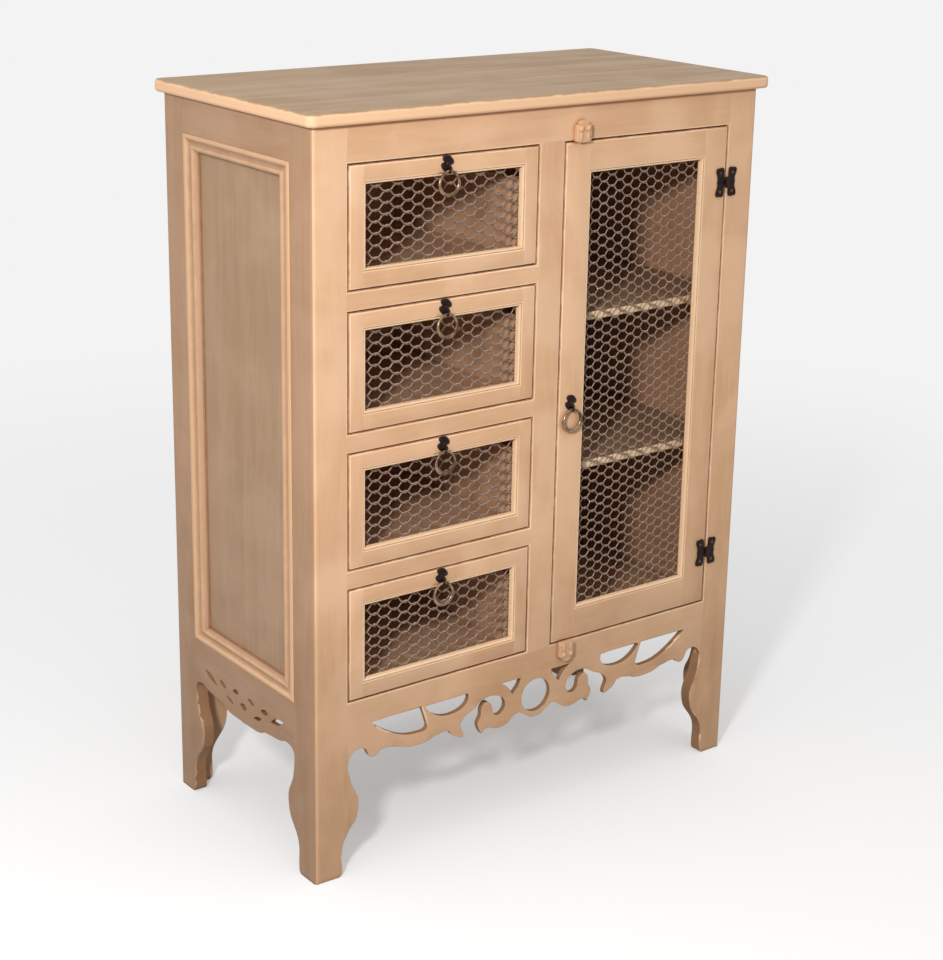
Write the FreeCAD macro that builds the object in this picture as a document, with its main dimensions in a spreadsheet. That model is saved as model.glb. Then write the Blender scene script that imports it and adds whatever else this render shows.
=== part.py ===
import FreeCAD, Part
import math
import os
import re
from types import SimpleNamespace

# Country cupboard: a column of four drawers beside a door, both filled with wire net,
# on a fretted apron and four corner legs. Millimetres, +Z up. The origin lies on the
# floor under the middle of the overall box; the front faces -Y.

# Driving dimensions: name, value, what it measures.
SIZES = [
    ("overall_height", 1100, "floor to the top of the top board"),
    ("top_width", 811, "top board, left to right"),
    ("top_depth", 417, "top board, front to back"),
    ("top_thickness", 18, "top board"),
    ("top_front_overhang", 15, "top board in front of the case"),
    ("top_corner_round", 12, "radius of the top board's corners in plan"),
    ("top_edge_round", 5, "radius along the top board's edges"),
    ("body_width", 786, "case, left to right"),
    ("body_depth", 393, "case, front to back"),
    ("board_thickness", 20, "legs, stiles and rails"),
    ("corner_round", 6, "radius down the case's corners"),
    ("stile_width", 55, "visible width of a corner stile"),
    ("top_rail_height", 52, "rails under the top board"),
    ("case_foot", 270, "lower edge of the front openings above the floor"),
    ("drawer_opening_width", 318, "opening for the drawers"),
    ("mullion_width", 45, "upright between drawers and door"),
    ("drawer_rail_height", 27, "rail between two drawers"),
    ("ankle_width", 44, "leg just above the floor"),
    ("bulge_width", 72.5, "leg at its widest"),
    ("foot_round", 7, "radius under the inner corner of a leg"),
    ("apron_thickness", 16, "fretted apron boards"),
    ("apron_foot", 157, "lowest line of the front fretwork above the floor"),
    ("fret_height", 73, "front fretwork, from that line to the top of its slots"),
    ("apron_end_rise", 19, "end corner of the front apron above that line"),
    ("side_apron_top", 264, "top of a side apron above the floor"),
    ("side_apron_foot", 177, "lowest line of a side apron above the floor"),
    ("side_apron_end_rise", 6, "end corner of a side apron above that line"),
    ("moulding_width", 30, "upright members of the side moulding"),
    ("moulding_height", 24, "level members of the side moulding"),
    ("panel_thickness", 8, "side panels"),
    ("panel_setback", 10, "face of a side panel behind the stiles' face"),
    ("back_panel_thickness", 6, "back panel"),
    ("back_rail_height", 52, "both rails of the back frame"),
    ("back_foot", 200, "lower edge of the back panel above the floor"),
    ("floor_thickness", 12, "bottom board of the case"),
    ("floor_step", 18, "bottom board under the openings' lower edge"),
    ("partition_thickness", 16, "board between drawers and door"),
    ("shelf_thickness", 12, "shelves"),
    ("upper_shelf_top", 771, "upper shelf above the floor"),
    ("lower_shelf_top", 542, "lower shelf above the floor"),
    ("shelf_setback", 2, "shelf edge behind the closed door"),
    ("cleat_size", 18, "square strips under the shelves"),
    ("reveal", 2, "gap round the door and each drawer front"),
    ("front_thickness", 20, "door members and drawer fronts"),
    ("drawer_member", 24, "members of a drawer front"),
    ("door_stile_width", 45, "upright members of the door"),
    ("door_top_height", 43, "top member of the door"),
    ("door_bottom_height", 48, "bottom member of the door"),
    ("net_setback", 10, "net behind the face of its frame"),
    ("net_lap", 6, "net behind each member that holds it"),
    ("net_edge_clearance", 0.5, "net inside its rebate"),
    ("net_thickness", 1.4, "net"),
    ("wire_width", 2.2, "twisted wire between two gaps"),
    ("column_pitch", 17.3, "net, from one column of gaps to the next"),
    ("row_pitch", 16.6, "net, from one gap to the next above it"),
    ("door_net_pitch_factor", 1.5, "coarser gaps in the tall door net"),
    ("box_gap", 8, "drawer side inside the edge of its opening"),
    ("box_side_thickness", 10, "drawer sides and back"),
    ("box_side_height", 120, "drawer sides"),
    ("box_length", 320, "drawer behind its front"),
    ("box_bottom_thickness", 5, "drawer bottom"),
    ("box_bottom_rise", 5, "drawer bottom above the lower edge of its sides"),
    ("slide_clearance", 0.3, "drawer above its runners"),
    ("runner_thickness", 18, "drawer runners"),
    ("runner_reach", 20, "runner beyond the edge of the opening"),
    ("hinge_spacing", 83, "hinge centre from the door's end"),
    ("leaf_height", 42, "hinge leaf"),
    ("leaf_inner", 5, "inner edge of a leaf from the pin"),
    ("leaf_outer", 19.5, "outer edge of a leaf from the pin"),
    ("leaf_waist", 16.5, "outer edge of a leaf at its waist from the pin"),
    ("leaf_thickness", 2, "hinge leaf"),
    ("knuckle_radius", 3, "hinge knuckle"),
    ("knuckle_height", 5, "one hinge knuckle"),
    ("knuckle_gap", 0.2, "between two knuckles"),
    ("knuckle_setoff", 0.3, "knuckle in front of the case's face"),
    ("hinge_pin_radius", 1.2, "hinge pin"),
    ("pin_clearance", 0.05, "running fit round every pin"),
    ("pull_drop", 22, "ring pivot under the drawer opening's top edge"),
    ("door_pull_height", 638, "ring pivot of the door pull above the floor"),
    ("plate_thickness", 2.2, "pull plate"),
    ("lobe_length", 19, "one lobe of a pull plate"),
    ("lobe_width", 9, "one lobe of a pull plate"),
    ("lobe_spacing", 10, "between the two lobes' centres"),
    ("lobe_rise", 2, "lower lobe's centre above the ring pivot"),
    ("pivot_setoff", 5.2, "ring pivot in front of the face"),
    ("eye_thickness", 3, "eye on the plate that the ring runs through"),
    ("eye_wall", 1.7, "eye round its hole"),
    ("eye_clearance", 0.3, "ring's rod inside the eye"),
    ("ring_radius", 17, "pull ring to the middle of its rod"),
    ("ring_rod_radius", 2, "rod of the pull ring"),
    ("button_width", 24, "turn button"),
    ("button_thickness", 9.5, "turn button"),
    ("button_tongue", 11, "turn button, pivot to its plain end"),
    ("button_length", 19.5, "turn button, pivot to its lobed end"),
    ("button_tip_clearance", 0.5, "plain end to the edge of the closed door"),
    ("button_face_clearance", 0.3, "turn button in front of the face"),
    ("button_inset", 26.5, "turn button's pivot from the mullion"),
    ("button_pin_radius", 2, "pin of a turn button"),
    ("button_pin_grip", 7, "pin inside the button"),
    ("button_pin_seat", 12, "pin inside the rail"),
    ("overrun", 1, "how far a cutting body passes a face"),
]

DRAWERS = 4
RUN = DRAWERS - 1
RIGHT_ANGLE = 90

# Places worked out from the driving dimensions: name, expression.
PLACES = [
    ("front", "top_front_overhang - top_depth / 2"),
    ("back", "front + body_depth"),
    ("half_body", "body_width / 2"),
    ("body_top", "overall_height - top_thickness"),
    ("frame_back", "front + board_thickness"),
    ("rear_frame", "back - board_thickness"),
    ("inner_side", "half_body - board_thickness"),
    ("case_back", "rear_frame - back_panel_thickness"),
    ("case_depth", "case_back - frame_back"),
    ("opening_top", "body_top - top_rail_height"),
    ("opening_height", "opening_top - case_foot"),
    ("drawer_left", "stile_width - half_body"),
    ("mullion_left", "drawer_left + drawer_opening_width"),
    ("mullion_right", "mullion_left + mullion_width"),
    ("door_edge", "half_body - stile_width"),
    ("door_opening_width", "door_edge - mullion_right"),
    ("apron_end", "apron_foot + apron_end_rise"),
    ("side_stile_front", "front + stile_width"),
    ("side_stile_back", "back - stile_width"),
    ("side_opening_depth", "side_stile_back - side_stile_front"),
    ("side_opening_height", "opening_top - side_apron_top"),
    ("panel_face", "half_body - panel_setback"),
    ("floor_top", "case_foot - floor_step"),
    ("partition_left", "mullion_left + (mullion_width - partition_thickness) / 2"),
    ("partition_right", "partition_left + partition_thickness"),
    ("bay_width", "inner_side - partition_right"),
    ("shelf_front", "frame_back + shelf_setback"),
    ("shelf_depth", "case_back - shelf_front"),
    ("drawer_opening_height", f"(opening_height - {RUN} * drawer_rail_height) / {DRAWERS}"),
    ("drawer_step", "drawer_opening_height + drawer_rail_height"),
    ("drawer_front_left", "drawer_left + reveal"),
    ("drawer_front_width", "drawer_opening_width - 2 * reveal"),
    ("drawer_front_height", "drawer_opening_height - 2 * reveal"),
    ("box_left", "drawer_left + box_gap"),
    ("box_width", "drawer_opening_width - 2 * box_gap"),
    ("box_front", "front + front_thickness"),
    ("net_front", "front + net_setback"),
    ("rebate_reach", "net_lap + net_edge_clearance"),
    ("rebate_depth", "front_thickness - net_setback"),
    ("door_left", "mullion_right + reveal"),
    ("door_width", "door_opening_width - 2 * reveal"),
    ("door_foot", "case_foot + reveal"),
    ("door_height", "opening_height - 2 * reveal"),
    ("door_top", "door_foot + door_height"),
    ("hinge_x", "door_edge - reveal / 2"),
    ("hinge_y", "front - knuckle_setoff - knuckle_radius"),
    ("upper_hinge", "door_top - hinge_spacing"),
    ("lower_hinge", "door_foot + hinge_spacing"),
    ("barrel_height", "3 * knuckle_height + 2 * knuckle_gap"),
    ("drawer_pull_x", "drawer_left + drawer_opening_width / 2"),
    ("door_pull_x", "door_left + door_stile_width / 2"),
    ("pull_y", "front - pivot_setoff"),
    ("eye_hole", "ring_rod_radius + eye_clearance"),
    ("button_x", "mullion_right + button_inset"),
    ("button_back", "front - button_face_clearance"),
    ("upper_button", "door_top + button_tip_clearance + button_tongue"),
    ("lower_button", "door_foot - button_tip_clearance - button_tongue"),
]
for drawer in range(1, DRAWERS + 1):
    PLACES.append((f"drawer_{drawer}_foot",
                   f"opening_top - drawer_opening_height - {drawer - 1} * drawer_step"))

# Inner edge of a leg, upwards: share of the way from ankle to bulge, share of the height
# from the floor to the apron.
LEG_SHARES = ((0.02, 0.11), (0.05, 0.28), (0.21, 0.34), (0.53, 0.41), (0.84, 0.485), (0.965, 0.56),
              (1.0, 0.625), (0.93, 0.695), (0.77, 0.75), (0.60, 0.805), (0.49, 0.87), (0.42, 0.94))

# Lower edge of the front apron from the left leg to the middle, one row for each smooth
# stretch: share of half the apron's length from the middle, share of the fret's height.
APRON_EDGE_SHARES = (
    ((0.994, 0.36), (0.976, 0.465), (0.947, 0.515), (0.923, 0.495), (0.908, 0.445)),
    ((0.899, 0.34), (0.885, 0.265), (0.864, 0.257), (0.840, 0.35)),
    ((0.799, 0.36), (0.754, 0.305), (0.704, 0.24), (0.648, 0.21), (0.592, 0.225),
     (0.547, 0.285), (0.509, 0.32), (0.476, 0.29)),
    ((0.459, 0.19), (0.432, 0.11), (0.402, 0.07)),
    ((0.407, 0.22), (0.417, 0.35), (0.405, 0.46), (0.379, 0.555), (0.346, 0.62), (0.311, 0.71),
     (0.281, 0.78), (0.249, 0.795), (0.213, 0.755), (0.183, 0.665), (0.172, 0.54), (0.178, 0.415),
     (0.198, 0.335), (0.225, 0.34), (0.240, 0.43), (0.244, 0.54), (0.257, 0.65), (0.278, 0.69),
     (0.297, 0.63), (0.305, 0.53), (0.306, 0.415), (0.321, 0.28), (0.317, 0.155), (0.299, 0.015)),
    ((0.287, 0.09), (0.260, 0.10), (0.231, 0.053), (0.195, 0.03), (0.163, 0.062), (0.127, 0.18),
     (0.092, 0.235)),
    ((0.059, 0.14), (0.030, 0.062), (0.0, 0.042)),
)

# Openings of the front fret, in the same shares. Each starts at a corner and is closed.
FRONT_FRET_SHARES = {
    "long_slot": ((0.888, 1.0), (((0.624, 1.0),), ((0.607, 0.79), (0.592, 0.57)),
                  ((0.601, 0.493), (0.633, 0.47), (0.678, 0.483), (0.728, 0.54), (0.775, 0.64),
                   (0.828, 0.79), (0.888, 1.0)))),
    "short_slot": ((0.377, 1.0), (((0.609, 1.0),),
                   ((0.571, 0.81), (0.530, 0.70), (0.485, 0.656), (0.441, 0.667), (0.408, 0.715),
                    (0.383, 0.805), (0.377, 1.0)))),
    "eye": ((0.195, 1.0), (((0.086, 1.0),), ((0.098, 0.85), (0.133, 0.69)),
            ((0.154, 0.85), (0.195, 1.0)))),
}
# Middle hole of the front fret: half its width, half its height and its centre's height.
FRONT_RING_SHARES = (0.081, 0.36, 0.52)

# Lower edge of a side apron from its front end to the middle, in shares of half its length
# and of its height.
SIDE_EDGE_SHARES = (
    ((0.985, 0.12), (0.96, 0.165), (0.90, 0.20), (0.83, 0.205), (0.775, 0.17)),
    ((0.70, 0.145), (0.60, 0.13), (0.50, 0.115), (0.42, 0.10)),
    ((0.34, 0.04), (0.20, 0.012), (0.0, 0.0)),
)
# Openings of a side fret: centre, half length and half height in the same shares, and the
# slope in degrees on the front half of the board.
SIDE_FRET_SHARES = (
    (0.67, 0.44, 0.135, 0.055, -20.0),
    (0.42, 0.46, 0.075, 0.050, -12.0),
    (0.155, 0.48, 0.065, 0.045, 12.0),
    (0.285, 0.26, 0.080, 0.034, -16.0),
)
SIDE_EYE_SHARES = (0.0, 0.30, 0.065, 0.060, 0.0)

# Section of the side moulding: share of its width inwards, height in shares of the setback.
MOULDING_SHARES = ((0.0, 0.0), (0.0, 1.02), (0.07, 1.15), (0.20, 1.18), (0.30, 1.05), (0.36, 0.80),
                   (0.48, 0.68), (0.60, 0.74), (0.66, 0.92), (0.78, 0.98), (0.90, 0.84), (0.97, 0.55),
                   (1.0, 0.45), (1.0, 0.0))

# Half of a turn button's outline round its pivot: share of half its width, share of the
# longer arm (above zero) or of the tongue (below zero).
BUTTON_TONGUE_SHARES = ((0.55, -1.0), (0.88, -0.93), (1.0, -0.70))
BUTTON_LOBE_SHARES = ((1.0, 0.55), (0.93, 0.68), (0.74, 0.73), (0.62, 0.72))
BUTTON_TIP_SHARES = ((0.60, 0.84), (0.38, 0.96), (0.0, 1.0))

# Lobed edge of a hinge leaf from its outer corner to the middle of its height: share of the
# way from the waist to the outer edge, share of half its height.
LEAF_SHARES = ((1.0, 0.93), (0.85, 0.62), (0.25, 0.42), (0.0, 0.25), (0.35, 0.0))

LOBE_SLOPE = -28.0

DOC = FreeCAD.newDocument("Cupboard")
SHEET = DOC.addObject("Spreadsheet::Sheet", "Sizes")
RESULTS = DOC.addObject("App::VarSet", "Places")
SIZE_NAMES = {name for name, value, meaning in SIZES}
NODES = []


def qualified(expression):
    """The expression with each name led by the object that holds it."""
    def lead(match):
        word = match.group(0)
        return f"Sizes.{word}" if word in SIZE_NAMES else f"Places.{word}"
    return re.sub(r"[a-z][a-z0-9_]*", lead, expression)


def bind(item, field, expression):
    """Tie one property of an object to the named sizes and places."""
    item.setExpression(field, qualified(expression))


def fill_sheet():
    """Write the driving dimensions into the spreadsheet."""
    for row, (name, value, meaning) in enumerate(SIZES, start=1):
        SHEET.set(f"A{row}", name)
        SHEET.set(f"B{row}", str(value))
        SHEET.set(f"C{row}", meaning)
        SHEET.setAlias(f"B{row}", name)


def fill_places():
    """Add each place to the document, bound to its expression."""
    for name, expression in PLACES:
        RESULTS.addProperty("App::PropertyFloat", name, "Places")
        RESULTS.setExpression(name, qualified(expression).replace("Places.", ""))


def read_values():
    """All sizes and places as plain numbers, for outlines."""
    DOC.recompute()
    values = {name: float(getattr(SHEET, name)) for name, value, meaning in SIZES}
    values.update({name: float(getattr(RESULTS, name)) for name, expression in PLACES})
    return SimpleNamespace(**values)


def node(item, name):
    """Give the finished sub-part its name and list it."""
    item.Label = name
    NODES.append(item)
    return item


def move(item, corner):
    """Bind an object's position to three expressions."""
    for axis, expression in zip("xyz", corner):
        bind(item, f"Placement.Base.{axis}", expression)


def box(name, corner, extent):
    """A board with its lowest corner and its three sizes as expressions."""
    board = DOC.addObject("Part::Box", name)
    move(board, corner)
    for side, expression in zip(("Length", "Width", "Height"), extent):
        bind(board, side, expression)
    return board


def rod(name, base, radius, length, direction):
    """A round bar from its base centre along a unit direction."""
    bar = DOC.addObject("Part::Cylinder", name)
    upright = FreeCAD.Vector(0, 0, 1)
    bar.Placement.Rotation = FreeCAD.Rotation(upright, FreeCAD.Vector(*direction))
    move(bar, base)
    bind(bar, "Radius", radius)
    bind(bar, "Height", length)
    return bar


def cut(name, base, tool):
    """The base without the tool."""
    result = DOC.addObject("Part::Cut", name)
    result.Base = base
    result.Tool = tool
    return result


def fuse(name, pieces):
    """One solid from several that meet."""
    result = DOC.addObject("Part::MultiFuse", name)
    result.Shapes = pieces
    return result


def group(name, pieces):
    """Separate solids under one name."""
    result = DOC.addObject("Part::Compound", name)
    result.Links = pieces
    return node(result, name)


def line(start, end):
    """A straight stretch of an outline."""
    return Part.LineSegment(FreeCAD.Vector(*start, 0), FreeCAD.Vector(*end, 0))


def curve(points):
    """A smooth stretch of an outline through its points."""
    if len(points) == 2:
        return line(*points)
    spline = Part.BSplineCurve()
    spline.interpolate(Points=[FreeCAD.Vector(*point, 0) for point in points])
    return spline


def chain(start, stretches):
    """Smooth stretches one after another, each from the end of the last."""
    edges = []
    for stretch in stretches:
        edges.append(curve([start, *stretch]))
        start = stretch[-1]
    return edges


def board_from_outline(name, plane, edges, thickness, corner):
    """A board padded from its outline on one of its body's own planes."""
    body = DOC.addObject("PartDesign::Body", name)
    sketch = body.newObject("Sketcher::SketchObject", f"{name}_outline")
    face = next(item for item in body.Origin.OriginFeatures if item.Role == plane)
    sketch.AttachmentSupport = [(face, "")]
    sketch.MapMode = "FlatFace"
    sketch.addGeometry(edges, False)
    pad = body.newObject("PartDesign::Pad", f"{name}_pad")
    pad.Profile = sketch
    pad.Reversed = plane == "XZ_Plane"
    bind(pad, "Length", thickness)
    move(body, corner)
    DOC.recompute()
    return body


def round_edges(body, picked, radius):
    """Round the edges of a body's last feature that the test picks."""
    pad = body.Tip
    names = [f"Edge{index}" for index, edge in enumerate(pad.Shape.Edges, start=1) if picked(edge)]
    rounding = body.newObject("PartDesign::Fillet", f"{body.Name}_round")
    rounding.Base = (pad, names)
    bind(rounding, "Radius", radius)
    return body


def top_board(v):
    """The overhanging top with rounded corners and edges."""
    half_width = v.top_width / 2
    half_depth = v.top_depth / 2
    reach = v.top_corner_round
    edges = []
    corners = ((1, 1), (-1, 1), (-1, -1), (1, -1))
    for index, (across, along) in enumerate(corners):
        centre = FreeCAD.Vector(across * (half_width - reach), along * (half_depth - reach), 0)
        circle = Part.Circle(centre, FreeCAD.Vector(0, 0, 1), reach)
        start = index * math.pi / 2
        edges.append(Part.ArcOfCircle(circle, start, start + math.pi / 2))
    for first, second in zip(edges, edges[1:] + edges[:1]):
        edges.append(Part.LineSegment(first.EndPoint, second.StartPoint))
    body = board_from_outline("top_board", "XY_Plane", edges, "top_thickness", ("0", "0", "body_top"))

    def level(edge):
        return edge.BoundBox.ZLength < v.overrun

    node(round_edges(body, level, "top_edge_round"), "top_board")


def leg_outline(v, start, corner, outwards):
    """A leg and stile in one board: from the corner or the board before it to its shaped edge.

    corner is the place of the case's corner, outwards is +1 or -1 for the way that widths run.
    """
    swell = v.bulge_width - v.ankle_width
    shaped = [(v.ankle_width + across * swell, up * v.apron_end) for across, up in LEG_SHARES]
    foot = [(v.ankle_width - v.foot_round, 0), (v.ankle_width, v.foot_round)]

    def place(point):
        return (corner + outwards * point[0], point[1])

    half_turn = math.sqrt(2) / 2
    middle = (foot[0][0] + v.foot_round * half_turn, v.foot_round * (1 - half_turn))
    arc = Part.Arc(*(FreeCAD.Vector(*place(point), 0) for point in (foot[0], middle, foot[1])))
    edge = curve([place(point) for point in (foot[1], *shaped, (v.stile_width, v.apron_end))])
    ends = [(v.stile_width, v.apron_end), (v.stile_width, v.body_top), (start, v.body_top),
            (start, 0), foot[0]]
    lines = [line(place(a), place(b)) for a, b in zip(ends, ends[1:])]
    return [arc, edge, *lines]


def corner_legs(v):
    """Four corners, each of a front or rear board and a side board behind it."""
    for side, sign in (("left", -1), ("right", 1)):
        corner = sign * v.half_body
        side_place = "-half_body" if sign < 0 else "inner_side"
        for end, depth, start_y, toward in (("front", "front", v.front, 1),
                                            ("rear", "rear_frame", v.back, -1)):
            name = f"{end}_leg_{side}"
            board = board_from_outline(name, "XZ_Plane", leg_outline(v, 0, corner, -sign),
                                       "board_thickness", ("0", depth, "0"))

            def outer(edge, corner=corner, toward=toward):
                middle = edge.BoundBox.Center
                beyond = abs(middle.x - corner) < v.corner_round / 2
                face = middle.y < v.corner_round / 2 if toward > 0 else \
                    middle.y > v.board_thickness - v.corner_round / 2
                return beyond and face and edge.BoundBox.ZLength > v.case_foot

            node(round_edges(board, outer, "corner_round"), name)
            name = f"side_leg_{end}_{side}"
            outline = leg_outline(v, v.board_thickness, start_y, toward)
            node(board_from_outline(name, "YZ_Plane", outline, "board_thickness",
                                    (side_place, "0", "0")), name)


def front_frame():
    """Top rail, mullion and drawer rails of the front."""
    rail = box("front_top_rail_board", ("drawer_left", "front", "opening_top"),
               ("body_width - 2 * stile_width", "board_thickness", "top_rail_height"))
    hole = rod("upper_button_hole", ("button_x", "front - overrun", "upper_button"),
               "button_pin_radius", "button_pin_seat + overrun", (0, 1, 0))
    node(cut("front_top_rail", rail, hole), "front_top_rail")
    node(box("front_mullion", ("mullion_left", "front", "case_foot"),
             ("mullion_width", "board_thickness", "opening_height")), "front_mullion")
    rails = [box(f"drawer_rail_{number}",
                 ("drawer_left", "front", f"drawer_{number}_foot - drawer_rail_height"),
                 ("drawer_opening_width", "board_thickness", "drawer_rail_height"))
             for number in range(1, DRAWERS)]
    group("drawer_rails", rails)


def front_apron(v):
    """The fretted board under the openings."""
    half_length = v.door_edge

    def place(point, sign):
        return (sign * point[0] * half_length, v.apron_foot + point[1] * v.fret_height)

    edges = []
    for sign in (-1, 1):
        end = (sign * half_length, v.apron_end)
        stretches = [[place(point, sign) for point in row] for row in APRON_EDGE_SHARES]
        edges += chain(end, stretches)
        edges.append(line(end, (sign * half_length, v.case_foot)))
        for start, rows in FRONT_FRET_SHARES.values():
            edges += chain(place(start, sign), [[place(point, sign) for point in row] for row in rows])
    edges.append(line((-half_length, v.case_foot), (half_length, v.case_foot)))
    wide, tall, rise = FRONT_RING_SHARES
    centre = FreeCAD.Vector(0, v.apron_foot + rise * v.fret_height, 0)
    reach = (wide * half_length, tall * v.fret_height)
    if reach[0] > reach[1]:
        ring = Part.Ellipse(centre, *reach)
    else:
        ring = Part.Circle(centre, FreeCAD.Vector(0, 0, 1), reach[0])
    edges.append(ring)
    board = board_from_outline("front_apron_board", "XZ_Plane", edges, "apron_thickness",
                               ("0", "front", "0"))
    hole = rod("lower_button_hole", ("button_x", "front - overrun", "lower_button"),
               "button_pin_radius", "button_pin_seat + overrun", (0, 1, 0))
    node(cut("front_apron", board, hole), "front_apron")


def leaf_opening(centre, reach, slope):
    """A pointed oval opening, long axis turned by the slope."""
    turn = math.radians(slope)
    along = FreeCAD.Vector(math.cos(turn), math.sin(turn), 0) * reach[0]
    across = FreeCAD.Vector(-math.sin(turn), math.cos(turn), 0) * reach[1]
    middle = FreeCAD.Vector(*centre, 0)
    upper = Part.Arc(middle - along, middle + across, middle + along)
    lower = Part.Arc(middle + along, middle - across, middle - along)
    return [upper, lower]


def side_apron(v, side, board_place):
    """The fretted board under a side panel."""
    half_length = v.side_opening_depth / 2
    height = v.side_apron_top - v.side_apron_foot
    middle = v.side_stile_front + half_length

    def place(point, sign):
        return (middle + sign * point[0] * half_length, v.side_apron_foot + point[1] * height)

    edges = []
    end_height = v.side_apron_foot + v.side_apron_end_rise
    for sign in (-1, 1):
        end = (middle + sign * half_length, end_height)
        edges += chain(end, [[place(point, sign) for point in row] for row in SIDE_EDGE_SHARES])
        edges.append(line(end, (end[0], v.side_apron_top)))
        for across, up, long, tall, slope in SIDE_FRET_SHARES:
            reach = (long * half_length, tall * height)
            edges += leaf_opening(place((across, up), sign), reach, -sign * slope)
    across, up, long, tall, slope = SIDE_EYE_SHARES
    edges += leaf_opening(place((across, up), 1), (long * half_length, tall * height), slope)
    edges.append(line((v.side_stile_front, v.side_apron_top), (v.side_stile_back, v.side_apron_top)))
    name = f"side_apron_{side}"
    node(board_from_outline(name, "YZ_Plane", edges, "apron_thickness", (board_place, "0", "0")), name)


def solid_between(first, second):
    """A straight solid between two like sections, each a list of corners."""
    rims = [[*section, section[0]] for section in (first, second)]
    faces = [Part.Face(Part.makePolygon(rim)) for rim in rims]
    for a, b, c, d in zip(rims[0], rims[0][1:], rims[1][1:], rims[1]):
        faces.append(Part.Face(Part.makePolygon([a, b, c, d, a])))
    return Part.makeSolid(Part.makeShell(faces))


def side_moulding(v, side, sign):
    """Four mitred mouldings that frame a side panel."""
    low, high = v.side_apron_top, v.opening_top
    near, far = v.side_stile_front, v.side_stile_back

    def end_section(y_outer, z_outer, y_way, z_way):
        return [FreeCAD.Vector(sign * (v.panel_face + height * v.panel_setback),
                               y_outer + y_way * inwards * v.moulding_width,
                               z_outer + z_way * inwards * v.moulding_height)
                for inwards, height in MOULDING_SHARES]

    corners = (end_section(near, low, 1, 1), end_section(far, low, -1, 1),
               end_section(far, high, -1, -1), end_section(near, high, 1, -1))
    pieces = []
    for index, place in enumerate(("bottom", "rear", "top", "front")):
        piece = DOC.addObject("Part::Feature", f"side_moulding_{side}_{place}")
        piece.Shape = solid_between(corners[index], corners[(index + 1) % len(corners)])
        pieces.append(piece)
    group(f"side_moulding_{side}", pieces)


def sides(v):
    """Rail, panel, moulding and apron of both sides."""
    for side, sign in (("left", -1), ("right", 1)):
        rail_place = "-half_body" if sign < 0 else "inner_side"
        panel_place = "-panel_face" if sign < 0 else "panel_face - panel_thickness"
        apron_place = "-half_body" if sign < 0 else "half_body - apron_thickness"
        node(box(f"side_top_rail_{side}", (rail_place, "side_stile_front", "opening_top"),
                 ("board_thickness", "side_opening_depth", "top_rail_height")),
             f"side_top_rail_{side}")
        node(box(f"side_panel_{side}", (panel_place, "side_stile_front", "side_apron_top"),
                 ("panel_thickness", "side_opening_depth", "side_opening_height")),
             f"side_panel_{side}")
        side_moulding(v, side, sign)
        side_apron(v, side, apron_place)


def back_frame():
    """Back panel in front of the rear legs, and the two rails behind it."""
    node(box("back_panel", ("-inner_side", "case_back", "back_foot"),
             ("2 * inner_side", "back_panel_thickness", "body_top - back_foot")), "back_panel")
    rails = [box(f"back_rail_{place}", ("drawer_left", "rear_frame", height),
                 ("body_width - 2 * stile_width", "board_thickness", "back_rail_height"))
             for place, height in (("top", "body_top - back_rail_height"), ("bottom", "back_foot"))]
    group("back_rails", rails)


def inside(v):
    """Bottom board, partition, drawer runners, shelves and their cleats."""
    node(box("bottom_board", ("-inner_side", "frame_back", "floor_top - floor_thickness"),
             ("2 * inner_side", "case_depth", "floor_thickness")), "bottom_board")
    node(box("partition", ("partition_left", "frame_back", "floor_top"),
             ("partition_thickness", "case_depth", "body_top - floor_top")), "partition")
    runners = []
    for number in range(1, DRAWERS + 1):
        height = f"drawer_{number}_foot - runner_thickness"
        runners.append(box(f"runner_left_{number}", ("-inner_side", "frame_back", height),
                           ("inner_side + drawer_left + runner_reach", "case_depth",
                            "runner_thickness")))
        runners.append(box(f"runner_right_{number}",
                           ("mullion_left - runner_reach", "frame_back", height),
                           ("partition_left - mullion_left + runner_reach", "case_depth",
                            "runner_thickness")))
    group("drawer_runners", runners)
    shelves = []
    cleats = []
    for level in ("upper", "lower"):
        shelves.append(box(f"{level}_shelf",
                           ("partition_right", "shelf_front", f"{level}_shelf_top - shelf_thickness"),
                           ("bay_width", "shelf_depth", "shelf_thickness")))
        height = f"{level}_shelf_top - shelf_thickness - cleat_size"
        for side, place in (("left", "partition_right"), ("right", "inner_side - cleat_size")):
            cleats.append(box(f"{level}_cleat_{side}", (place, "shelf_front", height),
                              ("cleat_size", "shelf_depth", "cleat_size")))
    group("shelves", shelves)
    group("shelf_cleats", cleats)


def rebated(name, corner, extent, rebate_corner, rebate_extent):
    """A frame member with the rebate that its net lies in."""
    member = box(f"{name}_member", corner, extent)
    rebate = box(f"{name}_rebate", rebate_corner, rebate_extent)
    return cut(name, member, rebate)


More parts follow.
